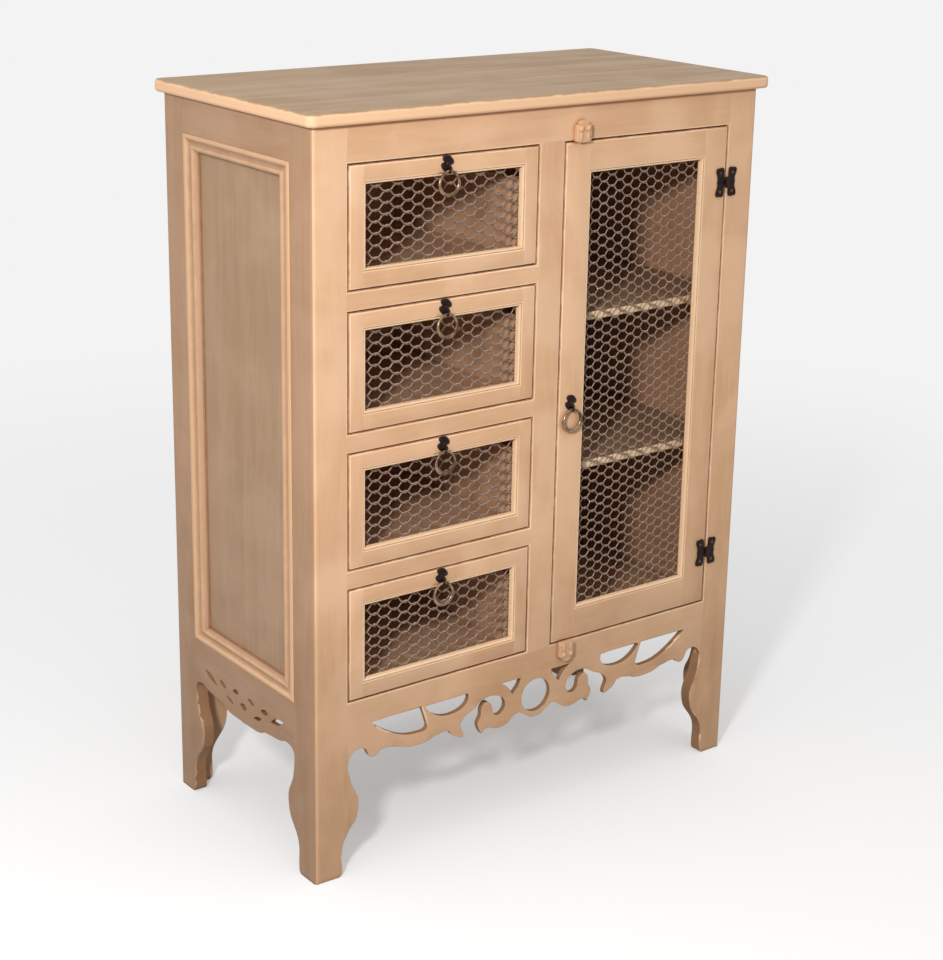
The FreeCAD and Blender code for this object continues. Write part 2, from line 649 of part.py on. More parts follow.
def net_frame(name, left, foot, width, height, sides_width, top, bottom):
    """Two uprights with two level members between them, rebated behind for a net.

    All places and sizes are expressions; the rebate stops inside the uprights.
    """
    inner_height = f"({height}) - ({top}) - ({bottom})"
    rebate_foot = f"({foot}) + ({bottom}) - rebate_reach"
    rebate_height = f"{inner_height} + 2 * rebate_reach"
    depth = "rebate_depth + overrun"
    uprights = []
    for side, start, inner in (("left", left, f"({left}) + ({sides_width}) - rebate_reach"),
                               ("right", f"({left}) + ({width}) - ({sides_width})",
                                f"({left}) + ({width}) - ({sides_width}) - overrun")):
        uprights.append(rebated(f"{name}_{side}", (start, "front", foot),
                                (sides_width, "front_thickness", height),
                                (inner, "net_front", rebate_foot),
                                ("rebate_reach + overrun", depth, rebate_height)))
    inner_left = f"({left}) + ({sides_width})"
    inner_width = f"({width}) - 2 * ({sides_width})"
    levels = []
    for place, start, tall, rebate in (
            ("bottom", foot, bottom, f"({foot}) + ({bottom}) - rebate_reach"),
            ("top", f"({foot}) + ({height}) - ({top})", top,
             f"({foot}) + ({height}) - ({top}) - overrun")):
        levels.append(rebated(f"{name}_{place}", (inner_left, "front", start),
                              (inner_width, "front_thickness", tall),
                              (f"{inner_left} - overrun", "net_front", rebate),
                              (f"{inner_width} + 2 * overrun", depth, "rebate_reach + overrun")))
    return uprights, levels


def clipped(polygon, inside_edge, crossing):
    """The part of a convex outline on the inner side of one edge."""
    kept = []
    for first, second in zip(polygon, polygon[1:] + polygon[:1]):
        if inside_edge(first):
            kept.append(first)
        if inside_edge(first) != inside_edge(second):
            kept.append(crossing(first, second))
    return kept


def clip_to_frame(polygon, low, high):
    """The part of a convex outline inside an upright rectangle."""
    for axis in (0, 1):
        for limit, way in ((low[axis], 1), (high[axis], -1)):
            def inner(point, axis=axis, limit=limit, way=way):
                return way * (point[axis] - limit) > 0

            def cross(first, second, axis=axis, limit=limit):
                share = (limit - first[axis]) / (second[axis] - first[axis])
                return tuple(a + share * (b - a) for a, b in zip(first, second))

            polygon = clipped(polygon, inner, cross)
            if len(polygon) < 3:
                return []
    return polygon


def net(v, name, left, foot, width, height, factor):
    """A wire net as one sheet with six-sided gaps, cut off along its edges.

    left and foot are the corner of the opening it covers; it laps behind the frame.
    """
    column = v.column_pitch * factor
    row = v.row_pitch * factor
    low = (left - v.net_lap, foot - v.net_lap)
    high = (left + width + v.net_lap, foot + height + v.net_lap)
    open_share = 1 - v.wire_width / v.row_pitch
    flat_share = 0.3
    tip_share = 0.7
    cell = [(column * x * open_share, row * z * open_share)
            for x, z in ((-flat_share, -0.5), (flat_share, -0.5), (tip_share, 0),
                         (flat_share, 0.5), (-flat_share, 0.5), (-tip_share, 0))]
    margin = v.wire_width / 2
    inner_low = tuple(place + margin for place in low)
    inner_high = tuple(place - margin for place in high)
    outer = [(low[0], low[1]), (high[0], low[1]), (high[0], high[1]), (low[0], high[1])]
    middle = ((low[0] + high[0]) / 2, (low[1] + high[1]) / 2)
    columns = math.ceil((high[0] - low[0]) / column / 2)
    rows = math.ceil((high[1] - low[1]) / row / 2)
    gaps = []
    for i in range(-columns, columns + 1):
        for j in range(-rows, rows + 2):
            centre = (middle[0] + i * column, middle[1] + (j - (i % 2) / 2) * row)
            gap = clip_to_frame([(centre[0] + x, centre[1] + z) for x, z in cell],
                                inner_low, inner_high)
            if len(gap) > 2 and polygon_area(gap) > v.wire_width ** 2:
                gaps.append(gap)

    def wire(points):
        corners = [FreeCAD.Vector(x, v.net_front, z) for x, z in points]
        return Part.makePolygon([*corners, corners[0]])

    print(name, "gaps", len(gaps))
    sheet = Part.makeFace([wire(outer), *(wire(gap) for gap in gaps)], "Part::FaceMakerBullseye")
    result = DOC.addObject("Part::Feature", name)
    result.Shape = sheet.extrude(FreeCAD.Vector(0, v.net_thickness, 0))
    node(result, name)


def polygon_area(points):
    """Area inside a closed outline."""
    return abs(sum(x1 * z2 - x2 * z1 for (x1, z1), (x2, z2)
                   in zip(points, points[1:] + points[:1]))) / 2


def lobe(v, name, x, height):
    """One slanting oval of a pull plate, round its own centre."""
    turn = math.radians(LOBE_SLOPE)
    major = FreeCAD.Vector(math.cos(turn), math.sin(turn), 0) * (v.lobe_length / 2)
    minor = FreeCAD.Vector(-math.sin(turn), math.cos(turn), 0) * (v.lobe_width / 2)
    oval = Part.Ellipse(major, minor, FreeCAD.Vector(0, 0, 0))
    return board_from_outline(name, "XZ_Plane", [oval], "plate_thickness",
                              (x, "front - plate_thickness", height))


def pull(v, prefix, x, pivot):
    """A cast plate of two slanting lobes with an eye, and the ring that hangs in the eye."""
    lobes = [lobe(v, f"{prefix}_lobe_{place}", f"{x} {shift} lobe_width / 4",
                  f"{pivot} + lobe_rise + {share} * lobe_spacing")
             for place, shift, share in (("low", "-", 0), ("high", "+", 1))]
    boss = rod(f"{prefix}_boss", (x, "front", f"{pivot} + lobe_rise + lobe_spacing / 2"),
               "lobe_width / 2", "plate_thickness", (0, -1, 0))
    eye = rod(f"{prefix}_eye", (f"{x} - eye_thickness / 2", "pull_y", pivot),
              "eye_hole + eye_wall", "eye_thickness", (1, 0, 0))
    hole = rod(f"{prefix}_hole", (f"{x} - eye_thickness / 2 - overrun", "pull_y", pivot),
               "eye_hole", "eye_thickness + 2 * overrun", (1, 0, 0))
    plate = fuse(f"{prefix}_casting", [*lobes, boss, eye])
    node(cut(f"{prefix}_plate", plate, hole), f"{prefix}_plate")
    ring = DOC.addObject("Part::Torus", f"{prefix}_ring")
    ring.Placement.Rotation = FreeCAD.Rotation(FreeCAD.Vector(1, 0, 0), RIGHT_ANGLE)
    move(ring, (x, "pull_y", f"{pivot} - ring_radius"))
    bind(ring, "Radius1", "ring_radius")
    bind(ring, "Radius2", "ring_rod_radius")
    node(ring, f"{prefix}_ring")


def drawer_parts(v):
    """Each drawer: front frame, net, box, pull."""
    for number in range(1, DRAWERS + 1):
        name = f"drawer_{number}"
        foot = f"{name}_foot"
        uprights, levels = net_frame(f"{name}_front", "drawer_front_left", f"{foot} + reveal",
                                     "drawer_front_width", "drawer_front_height",
                                     "drawer_member", "drawer_member", "drawer_member")
        group(f"{name}_front", uprights + levels)
        net(v, f"{name}_net", v.drawer_front_left + v.drawer_member,
            getattr(v, foot) + v.reveal + v.drawer_member,
            v.drawer_front_width - 2 * v.drawer_member,
            v.drawer_front_height - 2 * v.drawer_member, 1)
        base = f"{foot} + slide_clearance"
        inner_left = "box_left + box_side_thickness"
        inner_width = "box_width - 2 * box_side_thickness"
        pieces = [box(f"{name}_side_{side}", (place, "box_front", base),
                      ("box_side_thickness", "box_length", "box_side_height"))
                  for side, place in (("left", "box_left"),
                                      ("right", "box_left + box_width - box_side_thickness"))]
        pieces.append(box(f"{name}_back", (inner_left, "box_front + box_length - box_side_thickness",
                                           base),
                          (inner_width, "box_side_thickness", "box_side_height")))
        pieces.append(box(f"{name}_bottom", (inner_left, "box_front", f"{base} + box_bottom_rise"),
                          (inner_width, "box_length - box_side_thickness", "box_bottom_thickness")))
        group(f"{name}_box", pieces)
        pull(v, f"{name}_pull", "drawer_pull_x", f"({foot} + drawer_opening_height - pull_drop)")


def door_parts(v):
    """The door's four members, its net and its pull."""
    uprights, levels = net_frame("door", "door_left", "door_foot", "door_width", "door_height",
                                 "door_stile_width", "door_top_height", "door_bottom_height")
    node(uprights[0], "door_stile_free")
    node(uprights[1], "door_stile_hinge")
    group("door_rails", levels)
    net(v, "door_net", v.door_left + v.door_stile_width, v.door_foot + v.door_bottom_height,
        v.door_width - 2 * v.door_stile_width,
        v.door_height - v.door_top_height - v.door_bottom_height, v.door_net_pitch_factor)
    pull(v, "door_pull", "door_pull_x", "door_pull_height")


def leaf_outline(v, sign):
    """A hinge leaf round the hinge's centre, lobed along its outer edge."""
    swell = v.leaf_outer - v.leaf_waist
    half = v.leaf_height / 2
    lobes = [(v.leaf_waist + across * swell, up * half) for across, up in LEAF_SHARES]
    top = (v.leaf_waist - swell, half)
    inner = (v.leaf_inner, half - swell)
    upper = [curve([inner, (v.leaf_inner + swell / 2, half), top]), curve([top, *lobes])]
    turned = [(x, -z) for x, z in lobes]
    low_top = (top[0], -top[1])
    low_inner = (inner[0], -inner[1])
    lower = [curve([turned[-1], *turned[-2::-1], low_top]),
             curve([low_top, (v.leaf_inner + swell / 2, -half), low_inner])]
    edges = [*upper, *lower, line(low_inner, inner)]
    if sign < 0:
        mirror = FreeCAD.Matrix()
        mirror.A11 = -1
        for edge in edges:
            edge.transform(mirror)
    return edges


def hinges(v):
    """Two surface hinges: frame leaf with its end knuckles, door leaf with the middle one."""
    frame_leaves = []
    door_leaves = []
    pins = []
    for level in ("upper", "lower"):
        centre = f"{level}_hinge"
        barrel_foot = f"{centre} - barrel_height / 2"
        step = "knuckle_height + knuckle_gap"
        bore = rod(f"{level}_hinge_bore", ("hinge_x", "hinge_y", f"{barrel_foot} - overrun"),
                   "hinge_pin_radius", "barrel_height + 2 * overrun", (0, 0, 1))
        running_bore = rod(f"{level}_running_bore",
                           ("hinge_x", "hinge_y", f"{barrel_foot} - overrun"),
                           "hinge_pin_radius + pin_clearance", "barrel_height + 2 * overrun",
                           (0, 0, 1))
        for owner, sign, turns, hole, leaves in (("frame", 1, (0, 2), bore, frame_leaves),
                                                 ("door", -1, (1,), running_bore, door_leaves)):
            name = f"{level}_{owner}_leaf"
            pieces = [board_from_outline(f"{name}_plate", "XZ_Plane", leaf_outline(v, sign),
                                         "leaf_thickness",
                                         ("hinge_x", "front - leaf_thickness", centre))]
            neck_place = "hinge_x" if sign > 0 else "hinge_x - leaf_inner - overrun"
            for turn in turns:
                foot = f"{barrel_foot} + {turn} * ({step})"
                pieces.append(rod(f"{name}_knuckle_{turn}", ("hinge_x", "hinge_y", foot),
                                  "knuckle_radius", "knuckle_height", (0, 0, 1)))
                pieces.append(box(f"{name}_neck_{turn}", (neck_place, "front - leaf_thickness", foot),
                                  ("leaf_inner + overrun", "leaf_thickness - knuckle_setoff",
                                   "knuckle_height")))
            leaves.append(cut(name, fuse(f"{name}_solid", pieces), hole))
        pins.append(rod(f"{level}_hinge_pin", ("hinge_x", "hinge_y", barrel_foot),
                        "hinge_pin_radius", "barrel_height", (0, 0, 1)))
    group("hinge_frame_leaves", frame_leaves)
    group("hinge_pins", pins)
    group("hinge_door_leaves", door_leaves)


def button_outline(v, way):
    """A turn button round its pivot, lobed end upwards for way +1, downwards for -1."""
    half = v.button_width / 2

    def place(point, side):
        length = v.button_length if point[1] > 0 else v.button_tongue
        return (side * point[0] * half, way * point[1] * length)

    edges = []
    tips = []
    for side in (-1, 1):
        tongue = [place(point, side) for point in BUTTON_TONGUE_SHARES]
        lobe_points = [place(point, side) for point in BUTTON_LOBE_SHARES]
        tip = [place(point, side) for point in BUTTON_TIP_SHARES]
        edges += [curve(tongue), line(tongue[-1], lobe_points[0]), curve(lobe_points),
                  curve([lobe_points[-1], *tip])]
        tips.append(tongue[0])
    edges.append(line(*tips))
    return edges


def turn_buttons(v):
    """Two turn buttons above and below the door's free stile, on pins set in the rails."""
    pins = []
    for level, way in (("upper", 1), ("lower", -1)):
        pivot = f"{level}_button"
        name = f"turn_button_{level}"
        block = board_from_outline(f"{name}_block", "XZ_Plane", button_outline(v, way),
                                   "button_thickness",
                                   ("button_x", "button_back - button_thickness", pivot))
        bore = rod(f"{name}_bore", ("button_x", "button_back + overrun", pivot),
                   "button_pin_radius + pin_clearance",
                   "button_pin_grip + pin_clearance + overrun", (0, -1, 0))
        node(cut(name, block, bore), name)
        pins.append(rod(f"{name}_pin", ("button_x", "front + button_pin_seat", pivot),
                        "button_pin_radius",
                        "button_pin_seat + button_face_clearance + button_pin_grip", (0, -1, 0)))
    group("turn_button_pins", pins)


def write_parts():
    """Check the whole document, then write each sub-part to its own file."""
    DOC.recompute()
    for item in DOC.Objects:
        if "Invalid" in item.State or "Error" in item.State:
            raise RuntimeError(f"{item.Name} failed: {item.State}")
    for part in NODES:
        if part.Shape.isNull() or not part.Shape.isValid():
            raise RuntimeError(f"{part.Label} has no valid shape")
    os.makedirs("parts", exist_ok=True)
    for part in NODES:
        part.Shape.exportStep(f"parts/{part.Label}.step")
    print(len(NODES), "sub-parts")


def main():
    """Build the cupboard from its sizes."""
    fill_sheet()
    fill_places()
    values = read_values()
    top_board(values)
    corner_legs(values)
    front_frame()
    front_apron(values)
    sides(values)
    back_frame()
    inside(values)
    door_parts(values)
    drawer_parts(values)
    hinges(values)
    turn_buttons(values)
    write_parts()


main()
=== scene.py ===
"""A country cupboard, dressed for the camera.

Four drawers stand beside a door. All five are frames of pale, rubbed wood round a
net of twisted wire, on a fretted apron and four shaped legs.
"""

import logging
import math
from collections.abc import Iterable, Iterator, Mapping, Sequence
from dataclasses import dataclass, field
from enum import Enum

import bmesh
import bpy
from bmesh.types import BMEdge, BMesh, BMFace, BMVert
from bpy.types import ID, Material, Node, NodeOutputs, NodeSocket, NodeTree, Object
from mathutils import Matrix, Vector


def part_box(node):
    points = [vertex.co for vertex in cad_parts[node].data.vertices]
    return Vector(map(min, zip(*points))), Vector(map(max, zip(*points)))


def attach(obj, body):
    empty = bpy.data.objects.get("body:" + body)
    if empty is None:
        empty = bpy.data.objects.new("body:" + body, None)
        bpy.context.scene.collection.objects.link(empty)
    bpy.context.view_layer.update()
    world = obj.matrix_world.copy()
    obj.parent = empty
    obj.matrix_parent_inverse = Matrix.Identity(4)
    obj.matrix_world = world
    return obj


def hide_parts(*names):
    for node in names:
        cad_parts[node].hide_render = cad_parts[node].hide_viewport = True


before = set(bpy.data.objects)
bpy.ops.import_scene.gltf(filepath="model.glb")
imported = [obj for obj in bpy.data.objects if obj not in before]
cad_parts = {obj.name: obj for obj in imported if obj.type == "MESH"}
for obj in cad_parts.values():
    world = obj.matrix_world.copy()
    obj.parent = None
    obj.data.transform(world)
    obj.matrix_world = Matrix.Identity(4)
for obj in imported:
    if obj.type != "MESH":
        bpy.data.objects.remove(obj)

LOG = logging.getLogger("cupboard")
MM = 0.001
FRONT_FACE = -193.5 * MM
REAR_FACE = 199.5 * MM
DRAWERS = tuple(f"drawer_{number}" for number in range(1, 5))
COLOUR_TOP = 255.0
QUARTER = math.pi / 2
ORIGIN = (0.0, 0.0, 0.0)

Names = tuple[str, ...]
Pair = tuple[float, float]
Triple = tuple[float, float, float]


class Grain(Enum):
    """Direction in which a board's fibres run, and the turn that lays them along X."""

    ACROSS = (0.0, 0.0, 0.0)
    DEEP = (0.0, 0.0, -QUARTER)
    UPRIGHT = (0.0, QUARTER, 0.0)


class Slot(Enum):
    """Name of a finish in the record, handed to keep with each new piece but not used there."""

    FRONT = "front_wood"
    INSIDE = "inner_wood"
    NET = "wire_net"
    IRON = "black_iron"
    STEEL = "screw_steel"


def linear(colour: Triple) -> tuple[float, float, float, float]:
    """Turn a colour as seen on a screen into the numbers that a shader takes.

    Args:
        colour: Red, green and blue, each from 0 to 255.

    Returns:
        Red, green, blue and an alpha of one.
    """
    shares = [part / COLOUR_TOP for part in colour]
    red, green, blue = (share / 12.92 if share <= 0.04045 else ((share + 0.055) / 1.055) ** 2.4
                        for share in shares)
    return (red, green, blue, 1.0)


class Graph:
    """A shader node tree that is filled from left to right."""

    step = 180

    def __init__(self, tree: NodeTree) -> None:
        """Start an empty graph.

        Args:
            tree: The tree of a material, a world or a node group.
        """
        self.tree = tree
        self.tree.nodes.clear()

    def add(self, kind: str, feeds: Mapping[int | str, object] | None = None,
            **settings: object) -> Node:
        """Add a node, set its properties and feed its inputs.

        Args:
            kind: The node's type, without a leading "ShaderNode".
            feeds: A socket or a plain value for each input by name or number.
            **settings: Its properties by name.

        Returns:
            The new node.
        """
        full = kind if kind.startswith("Node") else f"ShaderNode{kind}"
        node = self.tree.nodes.new(full)
        node.location = (len(self.tree.nodes) * self.step, 0)
        for name, value in settings.items():
            setattr(node, name, value)
        for key, value in (feeds or {}).items():
            if isinstance(value, NodeSocket):
                self.tree.links.new(value, node.inputs[key])
            else:
                node.inputs[key].default_value = value
        return node

    def calculate(self, operation: str, *values: object) -> NodeSocket:
        """Work out one value from others.

        Args:
            operation: The Math node's operation.
            *values: Sockets or numbers, in the node's order.

        Returns:
            The result.
        """
        return self.add("Math", dict(enumerate(values)), operation=operation).outputs[0]

    def span(self, *values: object) -> NodeSocket:
        """Spread a value smoothly from one range to another, held at the ends.

        Args:
            *values: The value, the ends of its range and, where they aren't 0 and 1, the
                ends of the range that comes out.

        Returns:
            The result.
        """
        feeds = dict(enumerate(values))
        return self.add("MapRange", feeds, interpolation_type="SMOOTHSTEP").outputs[0]

    def blend(self, share: object, first: NodeSocket | Triple, second: NodeSocket | Triple,
              kind: str = "MIX") -> NodeSocket:
        """Mix two colours.

        Args:
            share: How much of the second is taken.
            first: The colour at a share of zero.
            second: The colour at a share of one.
            kind: The blend type.

        Returns:
            The mixed colour.
        """
        first, second = (colour if isinstance(colour, NodeSocket) else linear(colour)
                         for colour in (first, second))
        feeds = {"Factor": share, 6: first, 7: second}
        return self.add("Mix", feeds, data_type="RGBA", blend_type=kind).outputs[2]

    def noise(self, place: NodeSocket, scale: float, detail: float = 3.0, rough: float = 0.6,
              twist: float = 0.0) -> NodeSocket:
        """Read a smooth noise.

        Args:
            place: Coordinates.
            scale: Features per metre of the coordinates.
            detail: Layers of finer noise.
            rough: Share that each finer layer keeps.
            twist: How far the noise bends itself.

        Returns:
            The noise's value.
        """
        return self.add("TexNoise", {"Vector": place, "Scale": scale, "Detail": detail,
                                     "Roughness": rough, "Distortion": twist}).outputs[0]

    def wandering(self, place: NodeSocket, axis: str, scale: float, sway: float) -> NodeSocket:
        """Read a distance from the middle that strays with a noise.

        Args:
            place: Object coordinates.
            axis: The distance's axis.
            scale: The noise's features per metre.
            sway: How far it strays.

        Returns:
            The distance.
        """
        parts = self.add("SeparateXYZ", {0: place}).outputs
        stray = self.span(self.noise(place, scale), 0.3, 0.7, -sway, sway)
        return self.calculate("ADD", self.calculate("ABSOLUTE", parts[axis]), stray)

    def surface(self, feeds: Mapping[str, object], relief: Mapping[str, object]) -> None:
        """End a material's tree in one shader over a fine relief.

        Args:
            feeds: The shader's inputs by name, without its normal.
            relief: The relief's inputs by name.
        """
        normal = self.add("Bump", relief).outputs[0]
        shader = self.add("BsdfPrincipled", {**feeds, "Normal": normal})
        self.add("OutputMaterial", {"Surface": shader.outputs[0]})

    def seen(self) -> NodeSocket:
        """Return one for rays of the camera, mirrored ones and ones through glass."""
        rays = self.add("LightPath").outputs
        bent = self.calculate("MAXIMUM", rays["Is Glossy Ray"], rays["Is Transmission Ray"])
        return self.calculate("MAXIMUM", rays["Is Camera Ray"], bent)


def open_material(name: str) -> tuple[Material, Graph, NodeSocket]:
    """Start a material.

    Args:
        name: Its name.

    Returns:
        The material, its empty graph and the object coordinates.
    """
    made = bpy.data.materials.new(name)
    made.use_nodes = True
    graph = Graph(made.node_tree)
    return made, graph, graph.add("TexCoord").outputs["Object"]


def open_group(name: str, inputs: Names, outputs: Names) -> tuple[Graph, NodeOutputs]:
    """Start a shader node group, which is given a vector beside its numbers.

    Args:
        name: Its name.
        inputs: Name of each number.
        outputs: Name of each output; all are numbers but "Normal".

    Returns:
        The graph and what it is given.
    """
    tree = bpy.data.node_groups.new(name, "ShaderNodeTree")
    for side, labels in (("INPUT", ("Vector", *inputs)), ("OUTPUT", outputs)):
        for label in labels:
            kind = "Vector" if label in ("Vector", "Normal") else "Float"
            tree.interface.new_socket(label, in_out=side, socket_type=f"NodeSocket{kind}")
    graph = Graph(tree)
    return graph, graph.add("NodeGroupInput").outputs


class Effects:
    """Shader node groups that several finishes share, each made once.

    A noise is given as features per metre, layers, share that each finer layer keeps, and
    how far it bends itself.
    """

    streak_noise = (26.0, 3.0, 0.55, 0.9)
    fibre_noise = (190.0, 2.0, 0.5, 0.2)
    streak_share = 0.65
    pore_noise = (620.0, 1.0, 0.4)
    patch_noise = (7.0, 3.0, 0.55, 0.4)
    streak_stretch = 0.09
    pore_stretch = 0.05
    wear_and_highlight_noise = 60.0
    shade_and_glaze_noise = 45.0
    samples = 4

    def __init__(self) -> None:
        """Make the groups."""
        self.grain = self.make_grain()
        self.edges = self.make_edges()
        self.shade_and_glaze = self.make_shade_and_glaze()

    def make_grain(self) -> NodeTree:
        """Return streaks, pores and patches of a sawn board whose fibres run along X."""
        graph, given = open_group("board_grain", (), ("Streaks", "Pores", "Patches"))
        place = given["Vector"]
        bend, slit = (graph.add("Mapping", {"Vector": place, "Scale": (stretch, 1.0, 1.0)})
                      .outputs[0] for stretch in (self.streak_stretch, self.pore_stretch))
        broad = graph.calculate("MULTIPLY", graph.noise(bend, *self.streak_noise),
                                self.streak_share)
        fine = graph.calculate("MULTIPLY", graph.noise(bend, *self.fibre_noise),
                               1.0 - self.streak_share)
        graph.add("NodeGroupOutput", {
            "Streaks": graph.span(graph.calculate("ADD", broad, fine), 0.33, 0.67),
            "Pores": graph.span(graph.noise(slit, *self.pore_noise), 0.30, 0.48),
            "Patches": graph.span(graph.noise(place, *self.patch_noise), 0.36, 0.64)})
        return graph.tree

    def make_edges(self) -> NodeTree:
        """Return a normal that turns over each edge, and a mask of where it is rubbed and painted
        with a highlight.
        """
        graph, given = open_group("eased_edges", ("Radius", "Rub"), ("Mask", "Normal"))
        eased = graph.add("Bevel", {"Radius": given["Radius"]}, samples=self.samples).outputs[0]
        flat = graph.add("NewGeometry").outputs["Normal"]
        turn = graph.add("VectorMath", {0: eased, 1: flat}, operation="DOT_PRODUCT")
        bent = graph.calculate("SUBTRACT", 1.0, turn.outputs["Value"])
        breakup = graph.noise(given["Vector"], self.wear_and_highlight_noise)
        wear_and_highlight_mask = graph.calculate("MULTIPLY", graph.span(bent, 0.01, 0.16),
                               graph.span(breakup, 0.30, 0.52, 0.45, 1.0))
        mask = graph.calculate("MULTIPLY", wear_and_highlight_mask, given["Rub"])
        graph.add("NodeGroupOutput", {"Mask": mask, "Normal": eased})
        return graph.tree

    def make_shade_and_glaze(self) -> NodeTree:
        """Return the mask of painted shade in corners and gaps, partly an old glaze in them."""
        graph, given = open_group("corner_shade_and_glaze", ("Reach", "Amount", "Closed"), ("Mask",))
        hollow = graph.add("AmbientOcclusion", {"Distance": given["Reach"]}, samples=self.samples)
        shut = graph.span(hollow.outputs["AO"], given["Closed"], 0.97, 1.0, 0.0)
        breakup = graph.noise(given["Vector"], self.shade_and_glaze_noise)
        patchy = graph.calculate("MULTIPLY", shut, graph.span(breakup, 0.30, 0.60, 0.6, 1.0))
        mask = graph.calculate("MULTIPLY", patchy, given["Amount"])
        graph.add("NodeGroupOutput", {"Mask": mask})
        return graph.tree


@dataclass(frozen=True)
class WoodFinish:
    """Rubbed, washed wood."""

    name: str
    colour: Triple
    streak: Triple
    patch: Triple
    # Edge colour: partly rubbed wear, partly a painted highlight.
    wear_and_highlight_colour: Triple
    # Colour of the painted shade in corners and gaps, partly an old glaze.
    shade_and_glaze_colour: Triple = (120, 78, 46)
    # Colour multiplied in as painted shade towards the bottom.
    low_shade: Triple = (150, 138, 126)
    streak_share: float = 0.45
    patch_share: float = 0.5
    rub: float = 0.75
    ease: float = 1.6 * MM
    shade_and_glaze: float = 0.55
    reach: float = 6.0 * MM
    closed: float = 0.5
    roughness: Pair = (0.44, 0.60)
    specular: float = 0.35
    bump: float = 0.12
    pore_depth: float = 0.6 * MM
    lighter_band: tuple[str, float, float] | None = None
    lighter_band_share: float = 0.92
    foot: float = 0.0
    foot_height: float = 0.62
    board_place: Triple = (0.37, 0.11, 0.53)

    def material(self, effects: Effects, grain: Grain) -> Material:
        """Make the finish with its fibres in one direction.

        Args:
            effects: The shared node groups.
            grain: The fibres' direction.

        Returns:
            The material.
        """
        made, graph, place = open_material(f"{self.name}_{grain.name.lower()}")
        turned = graph.add("Mapping", {"Vector": place, "Rotation": grain.value,
                                       "Location": self.board_place}).outputs[0]
        board = graph.add("Group", {"Vector": turned}, node_tree=effects.grain).outputs
        edge = graph.add("Group", {"Vector": place, "Radius": self.ease, "Rub": self.rub},
                         node_tree=effects.edges).outputs
        corner = graph.add("Group", {"Vector": place, "Reach": self.reach,
                                     "Amount": self.shade_and_glaze, "Closed": self.closed},
                           node_tree=effects.shade_and_glaze).outputs
        streaks = graph.calculate("MULTIPLY", board["Streaks"], self.streak_share)
        patches = graph.calculate("MULTIPLY", board["Patches"], self.patch_share)
        # The edge mask lays the lighter edge colour: partly rubbed wear, partly a painted
        # highlight along the arrises.
        wear_and_highlight_colour = edge["Mask"]
        # A band by position takes the edge colour: on the top's edge and the mouldings' crests
        # partly wear, partly a painted highlight; on the back panel it marks the outer face.
        if self.lighter_band:
            axis, start, end = self.lighter_band
            level = graph.wandering(place, axis, 38.0, 0.7 * MM)
            wear_and_highlight_colour = graph.calculate("MAXIMUM", wear_and_highlight_colour,
                                     graph.span(level, start, end, 0.0, self.lighter_band_share))
        colour = graph.blend(streaks, self.colour, self.streak)
        # The last blend lays painted shade in corners and gaps, partly an old glaze.
        for share, above in ((patches, self.patch), (wear_and_highlight_colour, self.wear_and_highlight_colour),
                             (corner["Mask"], self.shade_and_glaze_colour)):
            colour = graph.blend(share, colour, above)
        # Painted shade: the colour darkens towards the bottom, where the light falls off.
        if self.foot:
            level = graph.wandering(place, "Z", 9.0, 60.0 * MM)
            low = graph.span(level, 0.0, self.foot_height, self.foot, 0.0)
            colour = graph.blend(low, colour, self.low_shade, "MULTIPLY")
        feeds = {"Base Color": colour, "Specular IOR Level": self.specular,
                 "Roughness": graph.span(board["Streaks"], 0.0, 1.0, *self.roughness)}
        graph.surface(feeds, {"Height": board["Pores"], "Normal": edge["Normal"],
                              "Strength": self.bump, "Distance": self.pore_depth})
        return made


@dataclass(frozen=True)
class MetalFinish:
    """Iron, steel or zinc with a skin of age, its edges brighter partly by polish and partly by a
    painted highlight.
    """

    name: str
    colour: Triple
    age: Triple
    age_share: float = 0.6
    metallic: float = 0.85
    roughness: Pair = (0.28, 0.55)
    spots: float = 160.0
    finer: float = 9.0
    ease: float = 0.4 * MM
    rub: float = 0.6
    highlight_gain: float = 1.5
    bump: float = 0.25
    bump_depth: float = 0.2 * MM

    def material(self, effects: Effects) -> Material:
        """Make the finish.

        Args:
            effects: The shared node groups.

        Returns:
            The material.
        """
        made, graph, place = open_material(self.name)
        spread = graph.span(graph.noise(place, self.spots, 4.0, 0.6, 0.3), 0.36, 0.66)
        fine = graph.noise(place, self.spots * self.finer, 2.0, 0.5)
        edge = graph.add("Group", {"Vector": place, "Radius": self.ease, "Rub": self.rub},
                         node_tree=effects.edges).outputs
        aged = graph.blend(graph.calculate("MULTIPLY", spread, self.age_share), self.colour,
                           self.age)
        # Painted highlight: the edges take a brighter copy of the colour, partly polish from use.
        polished_highlight = tuple(min(part * self.highlight_gain, COLOUR_TOP) for part in self.colour)
        feeds = {"Base Color": graph.blend(edge["Mask"], aged, polished_highlight),
                 "Roughness": graph.span(spread, 0.0, 1.0, *self.roughness),
                 "Metallic": self.metallic}
        graph.surface(feeds, {"Height": fine, "Normal": edge["Normal"],
                              "Strength": self.bump, "Distance": self.bump_depth})
        return made


